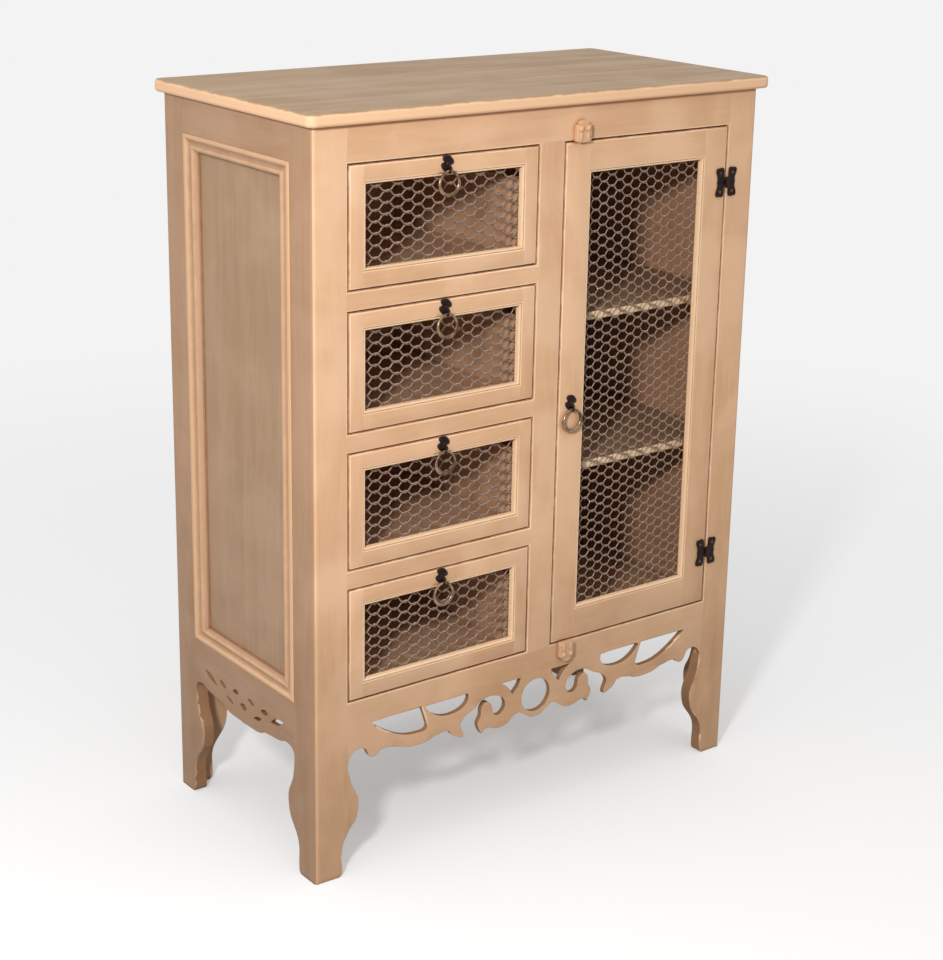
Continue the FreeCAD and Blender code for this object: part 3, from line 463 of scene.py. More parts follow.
@dataclass
class Palette:
    """Every finish of the cupboard."""

    effects: Effects = field(default_factory=Effects)
    made: dict[tuple[object, ...], Material] = field(default_factory=dict)
    front: WoodFinish = WoodFinish(
        "front_wood", (223, 178, 139), (203, 156, 116), (236, 194, 157), (247, 207, 166),
        shade_and_glaze_colour=(186, 138, 100), patch_share=0.7, shade_and_glaze=0.85, reach=0.007, foot=0.42)
    # Eased arrises are near white, partly rubbed wear and partly a painted highlight; their gap
    # side takes painted shade.
    arris_wear_and_highlight: WoodFinish = WoodFinish(
        "arris_wear_and_highlight_wood", (247, 207, 169), (234, 191, 151), (253, 219, 184), (254, 221, 186),
        shade_and_glaze_colour=(172, 122, 84), patch_share=0.8, shade_and_glaze=1.0, reach=0.008, closed=0.74, foot=0.3)
    # Sawn walls and the legs' inner faces are darker partly by the sawn tone, partly by painted
    # shade.
    sawn_and_shaded: WoodFinish = WoodFinish(
        "sawn_and_shaded_wood", (146, 108, 76), (120, 84, 56), (164, 124, 90), (188, 146, 110), rub=0.1,
        patch_share=0.7, shade_and_glaze=0.6, roughness=(0.55, 0.75))
    # The side, panel and moulding woods are darker than the front partly by their own tone,
    # partly by painted shade.
    side: WoodFinish = WoodFinish(
        "side_wood", (176, 138, 107), (160, 122, 92), (186, 149, 119), (228, 184, 144),
        patch_share=0.7, shade_and_glaze=0.7, foot=0.35)
    panel: WoodFinish = WoodFinish(
        "panel_wood", (170, 138, 109), (155, 122, 93), (181, 149, 120), (198, 146, 112),
        patch_share=0.7, rub=0.3, shade_and_glaze=0.7, foot=0.3, lighter_band=("X", 0.3800, 0.3765))
    moulding: WoodFinish = WoodFinish(
        "moulding_wood", (184, 145, 114), (170, 131, 99), (193, 154, 123), (216, 174, 135),
        lighter_band=("X", 0.3895, 0.3940))
    # The top is darker and greyer than the front partly by its own tone, partly by painted shade.
    top: WoodFinish = WoodFinish(
        "top_wood", (165, 134, 100), (151, 120, 87), (175, 145, 112), (245, 199, 158),
        patch_share=0.7, lighter_band=("Z", 1.0992, 1.0965), rub=0.5)
    # The strip round each net is cream partly as a lighter bead, partly as a painted highlight.
    trim_highlight: WoodFinish = WoodFinish(
        "trim_highlight_wood", (244, 204, 164), (234, 191, 149), (248, 212, 174), (252, 218, 180),
        shade_and_glaze=0.25)
    # Painted highlight: the shelves' front edges are near white, as if lit.
    lip_highlight: WoodFinish = WoodFinish(
        "lip_highlight_wood", (254, 219, 178), (251, 209, 166), (254, 224, 186), (254, 227, 190),
        shade_and_glaze=0.1)
    inside: WoodFinish = WoodFinish(
        "inner_wood", (204, 159, 125), (184, 140, 107), (214, 170, 136), (220, 178, 143),
        rub=0.3, shade_and_glaze=0.3, reach=0.012, roughness=(0.6, 0.75))
    shelf: WoodFinish = WoodFinish(
        "shelf_wood", (158, 122, 94), (138, 104, 78), (168, 132, 103), (252, 222, 180),
        rub=0.3, shade_and_glaze=0.0, roughness=(0.6, 0.75))
    # Painted shade: the back panel's inner face is near black, as the deep inside is unlit; its
    # outer face takes the lighter band colour.
    shaded_back: WoodFinish = WoodFinish(
        "back_wood_painted_shade", (70, 54, 44), (58, 44, 35), (78, 60, 49), (156, 121, 92), rub=0.3,
        shade_and_glaze=0.3, reach=0.012, roughness=(0.6, 0.75), lighter_band=("Y", 0.1750, 0.1785))
    net: MetalFinish = MetalFinish(
        "net_wire", (152, 129, 112), (118, 94, 78), metallic=0.2, roughness=(0.4, 0.6),
        spots=90.0, bump=0.1)
    iron: MetalFinish = MetalFinish("aged_iron", (44, 32, 29), (28, 19, 17),
                                    roughness=(0.28, 0.48))
    ring: MetalFinish = MetalFinish("ring_iron", (160, 132, 104), (62, 44, 33), 0.9,
                                    metallic=0.9, roughness=(0.24, 0.42), spots=55.0)
    steel: MetalFinish = MetalFinish("screw_steel", (96, 86, 78), (64, 54, 48))

    def get(self, finish: WoodFinish | MetalFinish, *grain: Grain) -> Material:
        """One finish, made at its first use.

        Args:
            finish: The finish.
            *grain: The fibres' direction, for wood.

        Returns:
            The material.
        """
        key = (finish.name, *grain)
        if key not in self.made:
            self.made[key] = finish.material(self.effects, *grain)
        return self.made[key]

    def boards(self, finish: WoodFinish) -> dict[Grain, Material]:
        """One wood finish in all three directions.

        Args:
            finish: The finish.

        Returns:
            The material of each direction.
        """
        return {grain: self.get(finish, grain) for grain in Grain}


def add_object(name: str, data: ID) -> Object:
    """Put an object in the scene.

    Args:
        name: Its name.
        data: Its mesh, light or camera.

    Returns:
        The object.
    """
    made = bpy.data.objects.new(name, data)
    bpy.context.scene.collection.objects.link(made)
    return made


def add_mesh(name: str, shape: BMesh, finishes: Iterable[Material]) -> Object:
    """Put a mesh in the scene.

    Args:
        name: Its name.
        shape: The mesh, which is freed.
        finishes: Its materials by the faces' indices.

    Returns:
        The object.
    """
    data = bpy.data.meshes.new(name)
    shape.to_mesh(data)
    shape.free()
    for finish in finishes:
        data.materials.append(finish)
    return add_object(name, data)


def keep(name: str, shape: BMesh, finishes: Iterable[Material], body: str, slot: Slot,
         *nodes: str, limit: float = 35.0) -> None:
    """Turn a closed mesh into a piece of the cupboard, smooth but over its sharp edges.

    Args:
        name: The piece's name.
        shape: Its mesh, which is freed.
        finishes: Its materials by the faces' indices.
        body: The body that it rides on.
        slot: The record's finish; not used.
        *nodes: The nodes that it replaces.
        limit: The angle from which an edge is sharp, in degrees.
    """
    bmesh.ops.recalc_face_normals(shape, faces=shape.faces)
    for face in shape.faces:
        face.smooth = True
    for edge in shape.edges:
        edge.smooth = edge.is_manifold and edge.calc_face_angle(math.pi) < math.radians(limit)
    piece = add_mesh(name, shape, finishes)
    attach(piece, body)
    if nodes:
        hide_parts(*nodes)
    LOG.info("piece %s on %s, %d faces", name, body, len(piece.data.polygons))


def both(*names: str) -> Names:
    """Name the left and the right node of each pair.

    Args:
        *names: What the nodes of a pair share.

    Returns:
        The nodes.
    """
    return tuple(f"{name}_{side}" for name in names for side in ("left", "right"))


def dress(finish: Material, *names: str) -> None:
    """Give carried-over nodes a finish.

    Args:
        finish: The material.
        *names: The nodes.
    """
    for name in names:
        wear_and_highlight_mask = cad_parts[name].data.materials
        wear_and_highlight_mask.clear()
        wear_and_highlight_mask.append(finish)
        LOG.info("node %s wears %s", name, finish.name)


def add_ring(shape: BMesh, sides: int, radius: float,
             place: Matrix) -> tuple[list[BMVert], list[BMEdge]]:
    """Add the outline of a wire's end.

    Args:
        shape: The mesh.
        sides: Number of sides.
        radius: Half the wire's thickness.
        place: Its place, facing Z before.

    Returns:
        Its corners and its edges.
    """
    verts = bmesh.ops.create_circle(shape, segments=sides, radius=radius, matrix=place)["verts"]
    return verts, list(dict.fromkeys(edge for vert in verts for edge in vert.link_edges))


def add_hoop(shape: BMesh, sides: int, rod: float, radius: float, axis: str,
             steps: int) -> list[BMVert]:
    """Add a closed hoop round the origin.

    Args:
        shape: The mesh.
        sides: Sides of its rod.
        rod: Half the rod's thickness.
        radius: From the origin to the rod's middle.
        axis: The axis that it runs round.
        steps: Sections all round.

    Returns:
        Its corners.
    """
    before = set(shape.verts)
    start = Matrix.Translation((0.0, 0.0, radius)) @ Matrix.Rotation(QUARTER, 4, axis)
    verts, edges = add_ring(shape, sides, rod, start)
    bmesh.ops.spin(shape, geom=[*verts, *edges], cent=ORIGIN, angle=math.tau, steps=steps,
                   axis=[float(letter == axis) for letter in "XYZ"], use_merge=True)
    return [vert for vert in shape.verts if vert not in before]


def add_dome(shape: BMesh, sides: tuple[int, int], size: Sequence[float],
             centre: Vector, back: float = 0.0) -> None:
    """Add the front of an egg shape, flat behind.

    Args:
        shape: The mesh.
        sides: Its faces round about and from pole to pole.
        size: Half its width, its depth and half its height.
        centre: Its middle.
        back: How far it reaches behind its middle.
    """
    made = bmesh.ops.create_uvsphere(shape, u_segments=sides[0], v_segments=sides[1],
                                     radius=1.0)["verts"]
    for vert in made:
        x, y, z = vert.co
        vert.co = (x * size[0], min(y * size[1], back), z * size[2])
    bmesh.ops.translate(shape, verts=made, vec=centre)


def tube(shape: BMesh, points: Sequence[Vector], radius: float, sides: int) -> None:
    """Run a round wire through a row of points.

    Args:
        shape: The mesh.
        points: The wire's middle line.
        radius: Half its thickness.
        sides: Number of sides.
    """
    forward = (points[1] - points[0]).normalized()
    turn = Vector((0.0, 0.0, 1.0)).rotation_difference(forward).to_matrix().to_4x4()
    ring, edges = add_ring(shape, sides, radius, Matrix.Translation(points[0]) @ turn)
    for before, here in zip(points, points[1:]):
        step = bmesh.ops.extrude_edge_only(shape, edges=edges)["geom"]
        ring = [item for item in step if isinstance(item, BMVert)]
        edges = [item for item in step if isinstance(item, BMEdge)]
        bmesh.ops.translate(shape, verts=ring, vec=here - before)
        heading = (here - before).normalized()
        bmesh.ops.rotate(shape, verts=ring, cent=here,
                         matrix=forward.rotation_difference(heading).to_matrix())
        forward = heading


def close(shape: BMesh) -> list[BMFace]:
    """Close every open end of a mesh and turn its faces outwards.

    Args:
        shape: The mesh.

    Returns:
        The new faces.
    """
    rims = [edge for edge in shape.edges if edge.is_boundary]
    made = bmesh.ops.holes_fill(shape, edges=rims, sides=0)["faces"]
    bmesh.ops.recalc_face_normals(shape, faces=shape.faces)
    return made


@dataclass
class FusedBoards:
    """Boards of one body glued into one solid, with the arrises round its openings eased.

    Faces on the cheeks of the cupboard take the cheeks' woods, darker partly by painted shade;
    walls cut by a saw take the sawn wood, darker partly by painted shade; front edges of the
    edged boards take the pale edge wood with its painted highlight.
    """

    name: str
    body: str
    members: Names
    woods: dict[Grain, Material]
    arris_wear_and_highlight: Material
    cheeks: dict[Grain, Material] = field(default_factory=dict)
    sawn_and_shaded: Material | None = None
    fretted: Names = ()
    shaped: Names = ()
    edged: Names = ()
    shaped_below: float = 262.0 * MM
    hull: Pair = (390.0 * MM, 192.0 * MM)
    slim: float = 0.5
    cheek: float = 372.0 * MM
    faces: tuple[float, ...] = (FRONT_FACE,)
    ease: float = 2.3 * MM
    steps: int = 3
    shortest: float = 9.0 * MM
    sharp: float = math.radians(60.0)
    level: float = math.radians(0.6)
    slot: Slot = Slot.FRONT
    weld: float = 0.02 * MM

    def finishes(self) -> list[Material]:
        """The piece's materials in the order of its faces' indices."""
        sawn_and_shaded = [self.sawn_and_shaded] if self.sawn_and_shaded else []
        return [*self.woods.values(), *self.cheeks.values(), *sawn_and_shaded, self.arris_wear_and_highlight]

    @staticmethod
    def solids(shape: BMesh) -> list[list[BMFace]]:
        """Find the boards of a mesh, whose faces follow one another board by board.

        Args:
            shape: The mesh.

        Returns:
            Each board's faces.
        """
        rims: set[frozenset[tuple[float, ...]]] = set()
        board: list[BMFace] = []
        found = []
        for face in shape.faces:
            board.append(face)
            corners = [tuple(round(part, 6) for part in vert.co) for vert in face.verts]
            for ends in zip(corners, corners[1:] + corners[:1]):
                rims ^= {frozenset(ends)}
            if not rims:
                found.append(board)
                board = []
        return found

    def finish_of(self, face: BMFace, sides: Sequence[float], member: str) -> int:
        """Choose a face's finish: its fibres run along the board's longest side.

        Args:
            face: The face.
            sides: The board's length along X, Y and Z.
            member: The board's node.

        Returns:
            The finish's index in the piece.
        """
        last = len(self.finishes()) - 1
        centre = face.calc_center_median()
        thin = sides.index(min(sides))
        # Sawn walls take the darker sawn finish, partly painted shade.
        if self.sawn_and_shaded and abs(face.normal[thin]) < 0.5:
            level = centre.z if thin else min(vert.co.z for vert in face.verts)
            inner = (level < self.shaped_below and abs(centre.x) < self.hull[0]
                     and abs(centre.y) < self.hull[1])
            if member in self.fretted or (member in self.shaped and inner):
                return last - 1
        # Front edges of edged boards take the pale edge finish with its painted highlight.
        if member in self.edged and face.normal.y < -0.5:
            return last
        # Side-facing faces take the darker cheek woods, partly painted shade.
        outer = self.cheeks and abs(face.normal.x) > 0.8 and abs(centre.x) > self.cheek
        return sides.index(max(sides)) + (len(Grain) if outer else 0)

    def boards(self) -> Iterator[Object]:
        """Copy every board to an object of its own, its faces marked with their finish.

        Fretted boards are thinned from behind, their outer faces kept.

        Yields:
            The boards.
        """
        for member in self.members:
            whole = bmesh.new()
            whole.from_mesh(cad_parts[member].data)
            whole.faces.index_update()
            for number, board in enumerate(self.solids(whole)):
                corners = [vert.co for face in board for vert in face.verts]
                sides = [max(c[axis] for c in corners) - min(c[axis] for c in corners)
                         for axis in range(3)]
                indices = {face.index: self.finish_of(face, sides, member) for face in board}
                part = whole.copy()
                part.faces.index_update()
                for face in part.faces:
                    face.material_index = indices.get(face.index, 0)
                others = [face for face in part.faces if face.index not in indices]
                bmesh.ops.delete(part, geom=others, context="FACES")
                bmesh.ops.remove_doubles(part, verts=part.verts, dist=self.weld)
                if member in self.fretted:
                    thin = sides.index(min(sides))
                    outer = max((vert.co[thin] for vert in part.verts), key=abs)
                    for vert in part.verts:
                        vert.co[thin] = outer + (vert.co[thin] - outer) * self.slim
                yield add_mesh(f"{member}_{number}", part, self.finishes())
            whole.free()

    def glue(self) -> BMesh:
        """Unite the boards and fill the slits that gluing leaves, in the finish beside them.

        Returns:
            The one solid's mesh.
        """
        first, *others = self.boards()
        for board in others:
            joint = first.modifiers.new(board.name, "BOOLEAN")
            joint.operation, joint.solver, joint.object = "UNION", "EXACT", board
        whole = bmesh.new()
        whole.from_object(first, bpy.context.evaluated_depsgraph_get())
        for data in [board.data for board in (first, *others)]:
            bpy.data.meshes.remove(data)
        bmesh.ops.remove_doubles(whole, verts=whole.verts, dist=self.weld)
        made = close(whole)
        for face in made:
            near = [other for edge in face.edges for other in edge.link_faces
                    if other not in made]
            if near:
                beside = max(near, key=lambda other: other.normal.dot(face.normal))
                face.material_index = beside.material_index
        return whole

    def build(self) -> None:
        """Glue the boards and ease the long sharp edges of the outer faces."""
        whole = self.glue()
        bmesh.ops.dissolve_limit(whole, angle_limit=self.level, verts=whole.verts,
                                 edges=whole.edges, delimit={"MATERIAL"})
        arrises = [edge for edge in whole.edges if edge.is_manifold
                   and edge.calc_length() >= self.shortest
                   and edge.calc_face_angle(0.0) > self.sharp
                   and any(sum(abs(vert.co.y - face) for vert in edge.verts) < 2 * self.weld
                           for face in self.faces)]
        eased = bmesh.ops.bevel(whole, geom=arrises, offset=self.ease, offset_type="OFFSET",
                                segments=self.steps, profile=0.5, affect="EDGES",
                                material=-1, clamp_overlap=False)["faces"]
        for face in eased:
            face.material_index = len(self.finishes()) - 1
        bmesh.ops.triangulate(whole, faces=[face for face in whole.faces if len(face.verts) > 4])
        keep(self.name, whole, self.finishes(), self.body, self.slot, *self.members)


@dataclass
class WireNet:
    """A net of twisted wire behind one frame."""

    body: str
    finish: Material
    column: float = 17.2 * MM
    row: float = 16.0 * MM
    half_twist: float = 5.6 * MM
    wire: float = 1.35 * MM
    sides: int = 4
    steps: int = 4
    turns: float = 0.75
    lap: float = 0.4 * MM
    sway: float = 0.55 * MM
    spare: int = 3
    in_front: float = 1.0 * MM
    start: Pair = (1.2, 1.3)
    bends: tuple[Pair, ...] = ((0.0, 0.0), (0.30, 0.24), (0.70, 0.76), (1.0, 1.0))

    def knot(self) -> BMesh:
        """Two wires wound round each other about the X axis, and two that leave them.

        Returns:
            The mesh, about the origin in the XZ plane.
        """
        shape = bmesh.new()
        step = 2 * self.half_twist / self.steps
        inner = self.half_twist - self.lap
        reach = self.column - 2 * inner
        low, high = 0.5 * self.wire, self.row / 2 - 0.5 * self.wire
        for sign in (1.0, -1.0):
            place = (Matrix.Translation((-self.half_twist, 0.0, sign * self.wire))
                     @ Matrix.Rotation(QUARTER, 4, "Y"))
            ring, edges = add_ring(shape, self.sides, self.wire, place)
            bmesh.ops.spin(shape, geom=[*ring, *edges], cent=ORIGIN, axis=(1.0, 0.0, 0.0),
                           dvec=(step, 0.0, 0.0), angle=self.turns * math.tau,
                           steps=self.steps)
        for sign in (1.0, -1.0):
            points = [Vector((inner + along * reach, 0.0, sign * (low + rise * (high - low))))
                      for along, rise in self.bends]
            tube(shape, points, self.wire, self.sides)
        return shape

    @staticmethod
    def repeat(shape: BMesh, moves: Iterable[Triple]) -> None:
        """Lay copies of a mesh.

        Args:
            shape: The mesh; it becomes all of them.
            moves: How far each copy is moved.
        """
        first = [*shape.verts, *shape.edges, *shape.faces]
        for move in moves:
            copy = bmesh.ops.duplicate(shape, geom=first)["geom"]
            verts = [item for item in copy if isinstance(item, BMVert)]
            bmesh.ops.translate(shape, verts=verts, vec=move)

    def build(self) -> None:
        """Make the net, let it stray as a hand-stretched one does and cut it to its frame."""
        low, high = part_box(f"{self.body}_net")
        shape = self.knot()
        rows = math.ceil((high.z - low.z) / self.row) + self.spare
        columns = math.ceil((high.x - low.x) / self.column) + self.spare
        self.repeat(shape, ((0.0, 0.0, self.row * number) for number in range(1, rows)))
        self.repeat(shape, ((self.column * number, 0.0, self.row / 2 * (number % 2))
                            for number in range(1, columns)))
        left, below = self.start
        bmesh.ops.translate(shape, verts=shape.verts, vec=(
            low.x - self.column * left, low.y + self.in_front, low.z - self.row * below))
        for vert in shape.verts:
            x, _, z = vert.co
            vert.co += Vector((math.sin(x * 61.0 + z * 23.0) + math.sin(z * 97.0),
                               math.sin(x * 49.0 + z * 31.0) * 0.4,
                               math.sin(z * 71.0 - x * 37.0) + math.sin(x * 113.0))) * self.sway
        for axis in (0, 2):
            for limit, sign in ((low, -1.0), (high, 1.0)):
                normal = Vector()
                normal[axis] = sign
                bmesh.ops.bisect_plane(
                    shape, geom=[*shape.verts, *shape.edges, *shape.faces],
                    plane_co=limit, plane_no=normal, clear_outer=True)
                close(shape)
        keep(f"{self.body}_net_wire", shape, [self.finish], self.body, Slot.NET,
             f"{self.body}_net", limit=180.0)


@dataclass
class SightStrip:
    """The thin light strip round the inside of a frame, in front of its net."""

    body: str
    finish: Material
    lap: float = 6.0 * MM
    width: float = 2.6 * MM
    round: float = 1.6 * MM
    steps: int = 4
    face: float = FRONT_FACE + 0.6 * MM
    weld: float = 0.001 * MM

    def build(self) -> None:
        """Make the mitred strip."""
        low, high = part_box(f"{self.body}_net")
        (left, right), (below, above) = ((low[axis] + self.lap, high[axis] - self.lap)
                                         for axis in (0, 2))
        shape = bmesh.new()
        sheet = shape.faces.new([shape.verts.new((x, self.face, z)) for x, z in (
            (left, below), (right, below), (right, above), (left, above))])
        sheet.normal_update()
        bmesh.ops.inset_individual(shape, faces=[sheet], thickness=self.width,
                                   use_even_offset=True)
        bmesh.ops.delete(shape, geom=[sheet], context="FACES_ONLY")
        rear = bmesh.ops.extrude_face_region(shape, geom=list(shape.faces),
                                             use_keep_orig=True)["geom"]
        verts = [item for item in rear if isinstance(item, BMVert)]
        bmesh.ops.translate(shape, verts=verts, vec=(0.0, low.y - self.face, 0.0))
        bmesh.ops.recalc_face_normals(shape, faces=shape.faces)
        inset = self.width / 2
        rim = [edge for edge in shape.edges if all(
            vert.co.y < self.face + self.weld and left + inset < vert.co.x < right - inset
            and below + inset < vert.co.z < above - inset for vert in edge.verts)]
        bmesh.ops.bevel(shape, geom=rim, offset=self.round, offset_type="OFFSET",
                        segments=self.steps, profile=0.5, affect="EDGES", material=-1)
        keep(f"{self.body}_net_strip", shape, [self.finish], self.body, Slot.FRONT)


@dataclass
class RingPull:
    """A drop ring on a plate; leaves and studs are given by their way from the ring's pivot."""

    body: str
    iron: Material
    ring_iron: Material
    ring_radius: float = 17.0 * MM
    rod: float = 2.0 * MM
    slim: float = 0.9
    foot: float = 0.75
    swell: float = 0.45
    narrow: float = 0.16
    leaf: Triple = (10.6 * MM, 3.4 * MM, 6.3 * MM)
    vein: float = 0.35 * MM
    slope: float = math.radians(28.0)
    leaves: tuple[Pair, ...] = ((-1.2 * MM, 4.4 * MM), (1.4 * MM, 14.0 * MM))
    studs: tuple[tuple[float, float, float, float], ...] = (
        (0.0, 9.2 * MM, 3.0 * MM, 2.4 * MM), (4.6 * MM, 11.8 * MM, 1.4 * MM, 1.2 * MM),
        (-4.6 * MM, 6.6 * MM, 1.4 * MM, 1.2 * MM))
    lift: float = 1.6 * MM
    eye: float = 3.1 * MM
    eye_rod: float = 0.9 * MM

    def build(self) -> None:
        """Make the ring, a little fuller at its foot as a forged one is, and its plate."""
        low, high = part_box(f"{self.body}_pull_ring")
        middle = (low + high) / 2
        shape = bmesh.new()
        add_hoop(shape, 10, self.rod, self.ring_radius, "Y", 40)
        outer = self.ring_radius + self.rod
        for vert in shape.verts:
            x, y, z = vert.co
            share = min(max(0.5 - z / self.ring_radius / 2, 0.0), 1.0)
            spoke = Vector((x, 0.0, z))
            inwards = (outer - spoke.length) * (self.slim + self.foot * share)
            reach = spoke.normalized() * (outer - inwards)
            reach.x *= 1.0 - self.narrow * max(1.0 - share * 1.6, 0.0) ** 1.5
            vert.co = (reach.x, y * (self.slim + self.swell * share), reach.z)
        bmesh.ops.translate(shape, verts=shape.verts, vec=middle)
        keep(f"{self.body}_ring", shape, [self.ring_iron], f"{self.body}_ring", Slot.IRON,
             f"{self.body}_pull_ring", limit=180.0)
        self.build_plate(Vector((middle.x, middle.y, high.z - self.rod)))

    def build_plate(self, pivot: Vector) -> None:
        """Make two sloping, domed leaves, studs and the eye that holds the ring.

        Args:
            pivot: Where the ring hangs.
        """
        shape = bmesh.new()
        length, depth, width = self.leaf
        for aside, rise in self.leaves:
            made = bmesh.ops.create_uvsphere(shape, u_segments=20, v_segments=10,
                                             radius=1.0)["verts"]
            for vert in made:
                x, y, z = vert.co
                vein = self.vein * math.exp(-((z / 0.16) ** 2))
                vert.co = (x * length, min(y * depth + vein, 0.0) if y < 0.0 else 0.0,
                           z * width * (1.0 - 0.25 * abs(x) ** 1.5))
            bmesh.ops.rotate(shape, verts=made, cent=ORIGIN,
                             matrix=Matrix.Rotation(self.slope, 3, "Y"))
            bmesh.ops.translate(shape, verts=made,
                                vec=(pivot.x + aside, FRONT_FACE, pivot.z + rise))
        for aside, rise, radius, height in self.studs:
            place = Vector((pivot.x + aside, FRONT_FACE - self.lift, pivot.z + rise))
            add_dome(shape, (14, 8), (radius, height, radius), place)
        loop = add_hoop(shape, 8, self.eye_rod, self.eye, "X", 20)
        bmesh.ops.translate(shape, verts=loop, vec=pivot)
        keep(f"{self.body}_plate", shape, [self.iron], self.body, Slot.IRON,
             f"{self.body}_pull_plate", limit=50.0)


@dataclass
class ScrewRow:
    """Slotted screw heads of one size, all facing the same way."""

    name: str
    body: str
    finish: Material
    places: Iterable[Triple]
    outwards: float = -1.0
    radius: float = 2.1 * MM
    height: float = 1.0 * MM
    slot_width: float = 0.55 * MM
    slot_depth: float = 0.45 * MM
    slot_reach: float = 0.8
    turns: Pair = (0.7, 1.9)

    def build(self) -> None:
        """Make the heads."""
        shape = bmesh.new()
        for number, place in enumerate(self.places):
            made = bmesh.ops.create_uvsphere(shape, u_segments=16, v_segments=8,
                                             radius=self.radius)["verts"]
            for vert in made:
                x, y, z = vert.co
                vert.co.y = y * self.height / self.radius
                if (abs(z) < self.slot_width and y * self.outwards > 0.0
                        and math.hypot(x, z) < self.radius * self.slot_reach):
                    vert.co.y -= self.outwards * self.slot_depth
            turn = Matrix.Rotation(self.turns[0] + self.turns[1] * number, 3, "Y")
            bmesh.ops.rotate(shape, verts=made, cent=ORIGIN, matrix=turn)
            bmesh.ops.translate(shape, verts=made, vec=place)
        keep(self.name, shape, [self.finish], self.body, Slot.STEEL)


@dataclass
class ButtonCarving:
    """Two knobs and two ridges on the face of one turn button."""

    level: str
    way: float
    finish: Material
    spread: float = 6.5 * MM
    knob: Triple = (4.5 * MM, 2.8 * MM, 4.8 * MM)
    ridge: Triple = (3.3 * MM, 1.7 * MM, 7.4 * MM)
    rise: float = 4.2 * MM
    drop: float = 7.0 * MM
    sunk: float = 1.2 * MM

    def build(self) -> None:
        """Carve the button."""
        low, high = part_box(f"turn_button_{self.level}")
        middle = (low + high) / 2
        shape = bmesh.new()
        for side in (-self.spread, self.spread):
            for size, away in ((self.knob, self.rise), (self.ridge, -self.drop)):
                place = Vector((middle.x + side, low.y, middle.z + self.way * away))
                add_dome(shape, (20, 12), size, place, self.sunk)
        keep(f"turn_button_carving_{self.level}", shape, [self.finish],
             f"{self.level}_turn_button", Slot.FRONT, limit=50.0)


@dataclass
class Case:
    """The cupboard's body: legs, rails, aprons, sides, top and inside."""

    palette: Palette
    legs: Names = both("front_leg", "rear_leg", "side_leg_front", "side_leg_rear")
    rails: Names = ("front_top_rail", "front_mullion", "drawer_rails")
    aprons: Names = ("front_apron", *both("side_apron"))
    shelf_face: float = -171.5 * MM
    shelf_ease: float = 3.0 * MM
    pin_inset: float = 9.0 * MM
    pin_margin: float = 95.0 * MM
    pin_rows: int = 8
    pin_radius: float = 2.4 * MM
    pin_height: float = 0.8 * MM

    def build(self) -> None:
        """Join the outer frame and dress every other board."""
        palette = self.palette
        steel = palette.get(palette.steel)
        members = (*self.legs, *self.rails, *self.aprons, *both("side_top_rail"))
        FusedBoards("case_frame", "case", members, palette.boards(palette.front),
                    palette.get(palette.arris_wear_and_highlight, Grain.UPRIGHT), palette.boards(palette.side),
                    palette.get(palette.sawn_and_shaded, Grain.ACROSS), self.aprons, self.legs,
                    faces=(FRONT_FACE, REAR_FACE)).build()
        FusedBoards("shelf_boards", "case", ("shelves",), palette.boards(palette.shelf),
                    palette.get(palette.lip_highlight, Grain.ACROSS), edged=("shelves",),
                    faces=(self.shelf_face,), ease=self.shelf_ease, slot=Slot.INSIDE).build()
        for finish, grain, names in (
                (palette.panel, Grain.UPRIGHT, both("side_panel")),
                (palette.moulding, Grain.UPRIGHT, both("side_moulding")),
                (palette.top, Grain.ACROSS, ("top_board",)),
                (palette.shaded_back, Grain.UPRIGHT, ("back_panel",)),
                (palette.inside, Grain.ACROSS, ("back_rails", "bottom_board")),
                (palette.inside, Grain.UPRIGHT, ("partition",)),
                (palette.inside, Grain.DEEP, ("shelf_cleats", "drawer_runners",
                                              *(f"{drawer}_box" for drawer in DRAWERS)))):
            dress(palette.get(finish, grain), *names)
        for level, way in (("upper", 1.0), ("lower", -1.0)):
            wood = palette.get(palette.front, Grain.UPRIGHT)
            dress(wood, f"turn_button_{level}")
            ButtonCarving(level, way, wood).build()
        dress(steel, "turn_button_pins")
        self.pin_back(steel)

    def pin_back(self, steel: Material) -> None:
        """Nail the back panel to the frame round it.

        Args:
            steel: The pins' finish.
        """
        low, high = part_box("back_rails")
        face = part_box("back_panel")[1].y
        middle, edge = (low + high) / 2, high.x - self.pin_inset
        half = high.z - middle.z - self.pin_margin
        places = [(middle.x + side * edge, face,
                   middle.z + half * (2 * row / (self.pin_rows - 1) - 1))
                  for row in range(self.pin_rows) for side in (-1.0, 1.0)]
        ScrewRow("back_pins", "case", steel, places, outwards=1.0, radius=self.pin_radius,
                 height=self.pin_height, slot_depth=0.0).build()


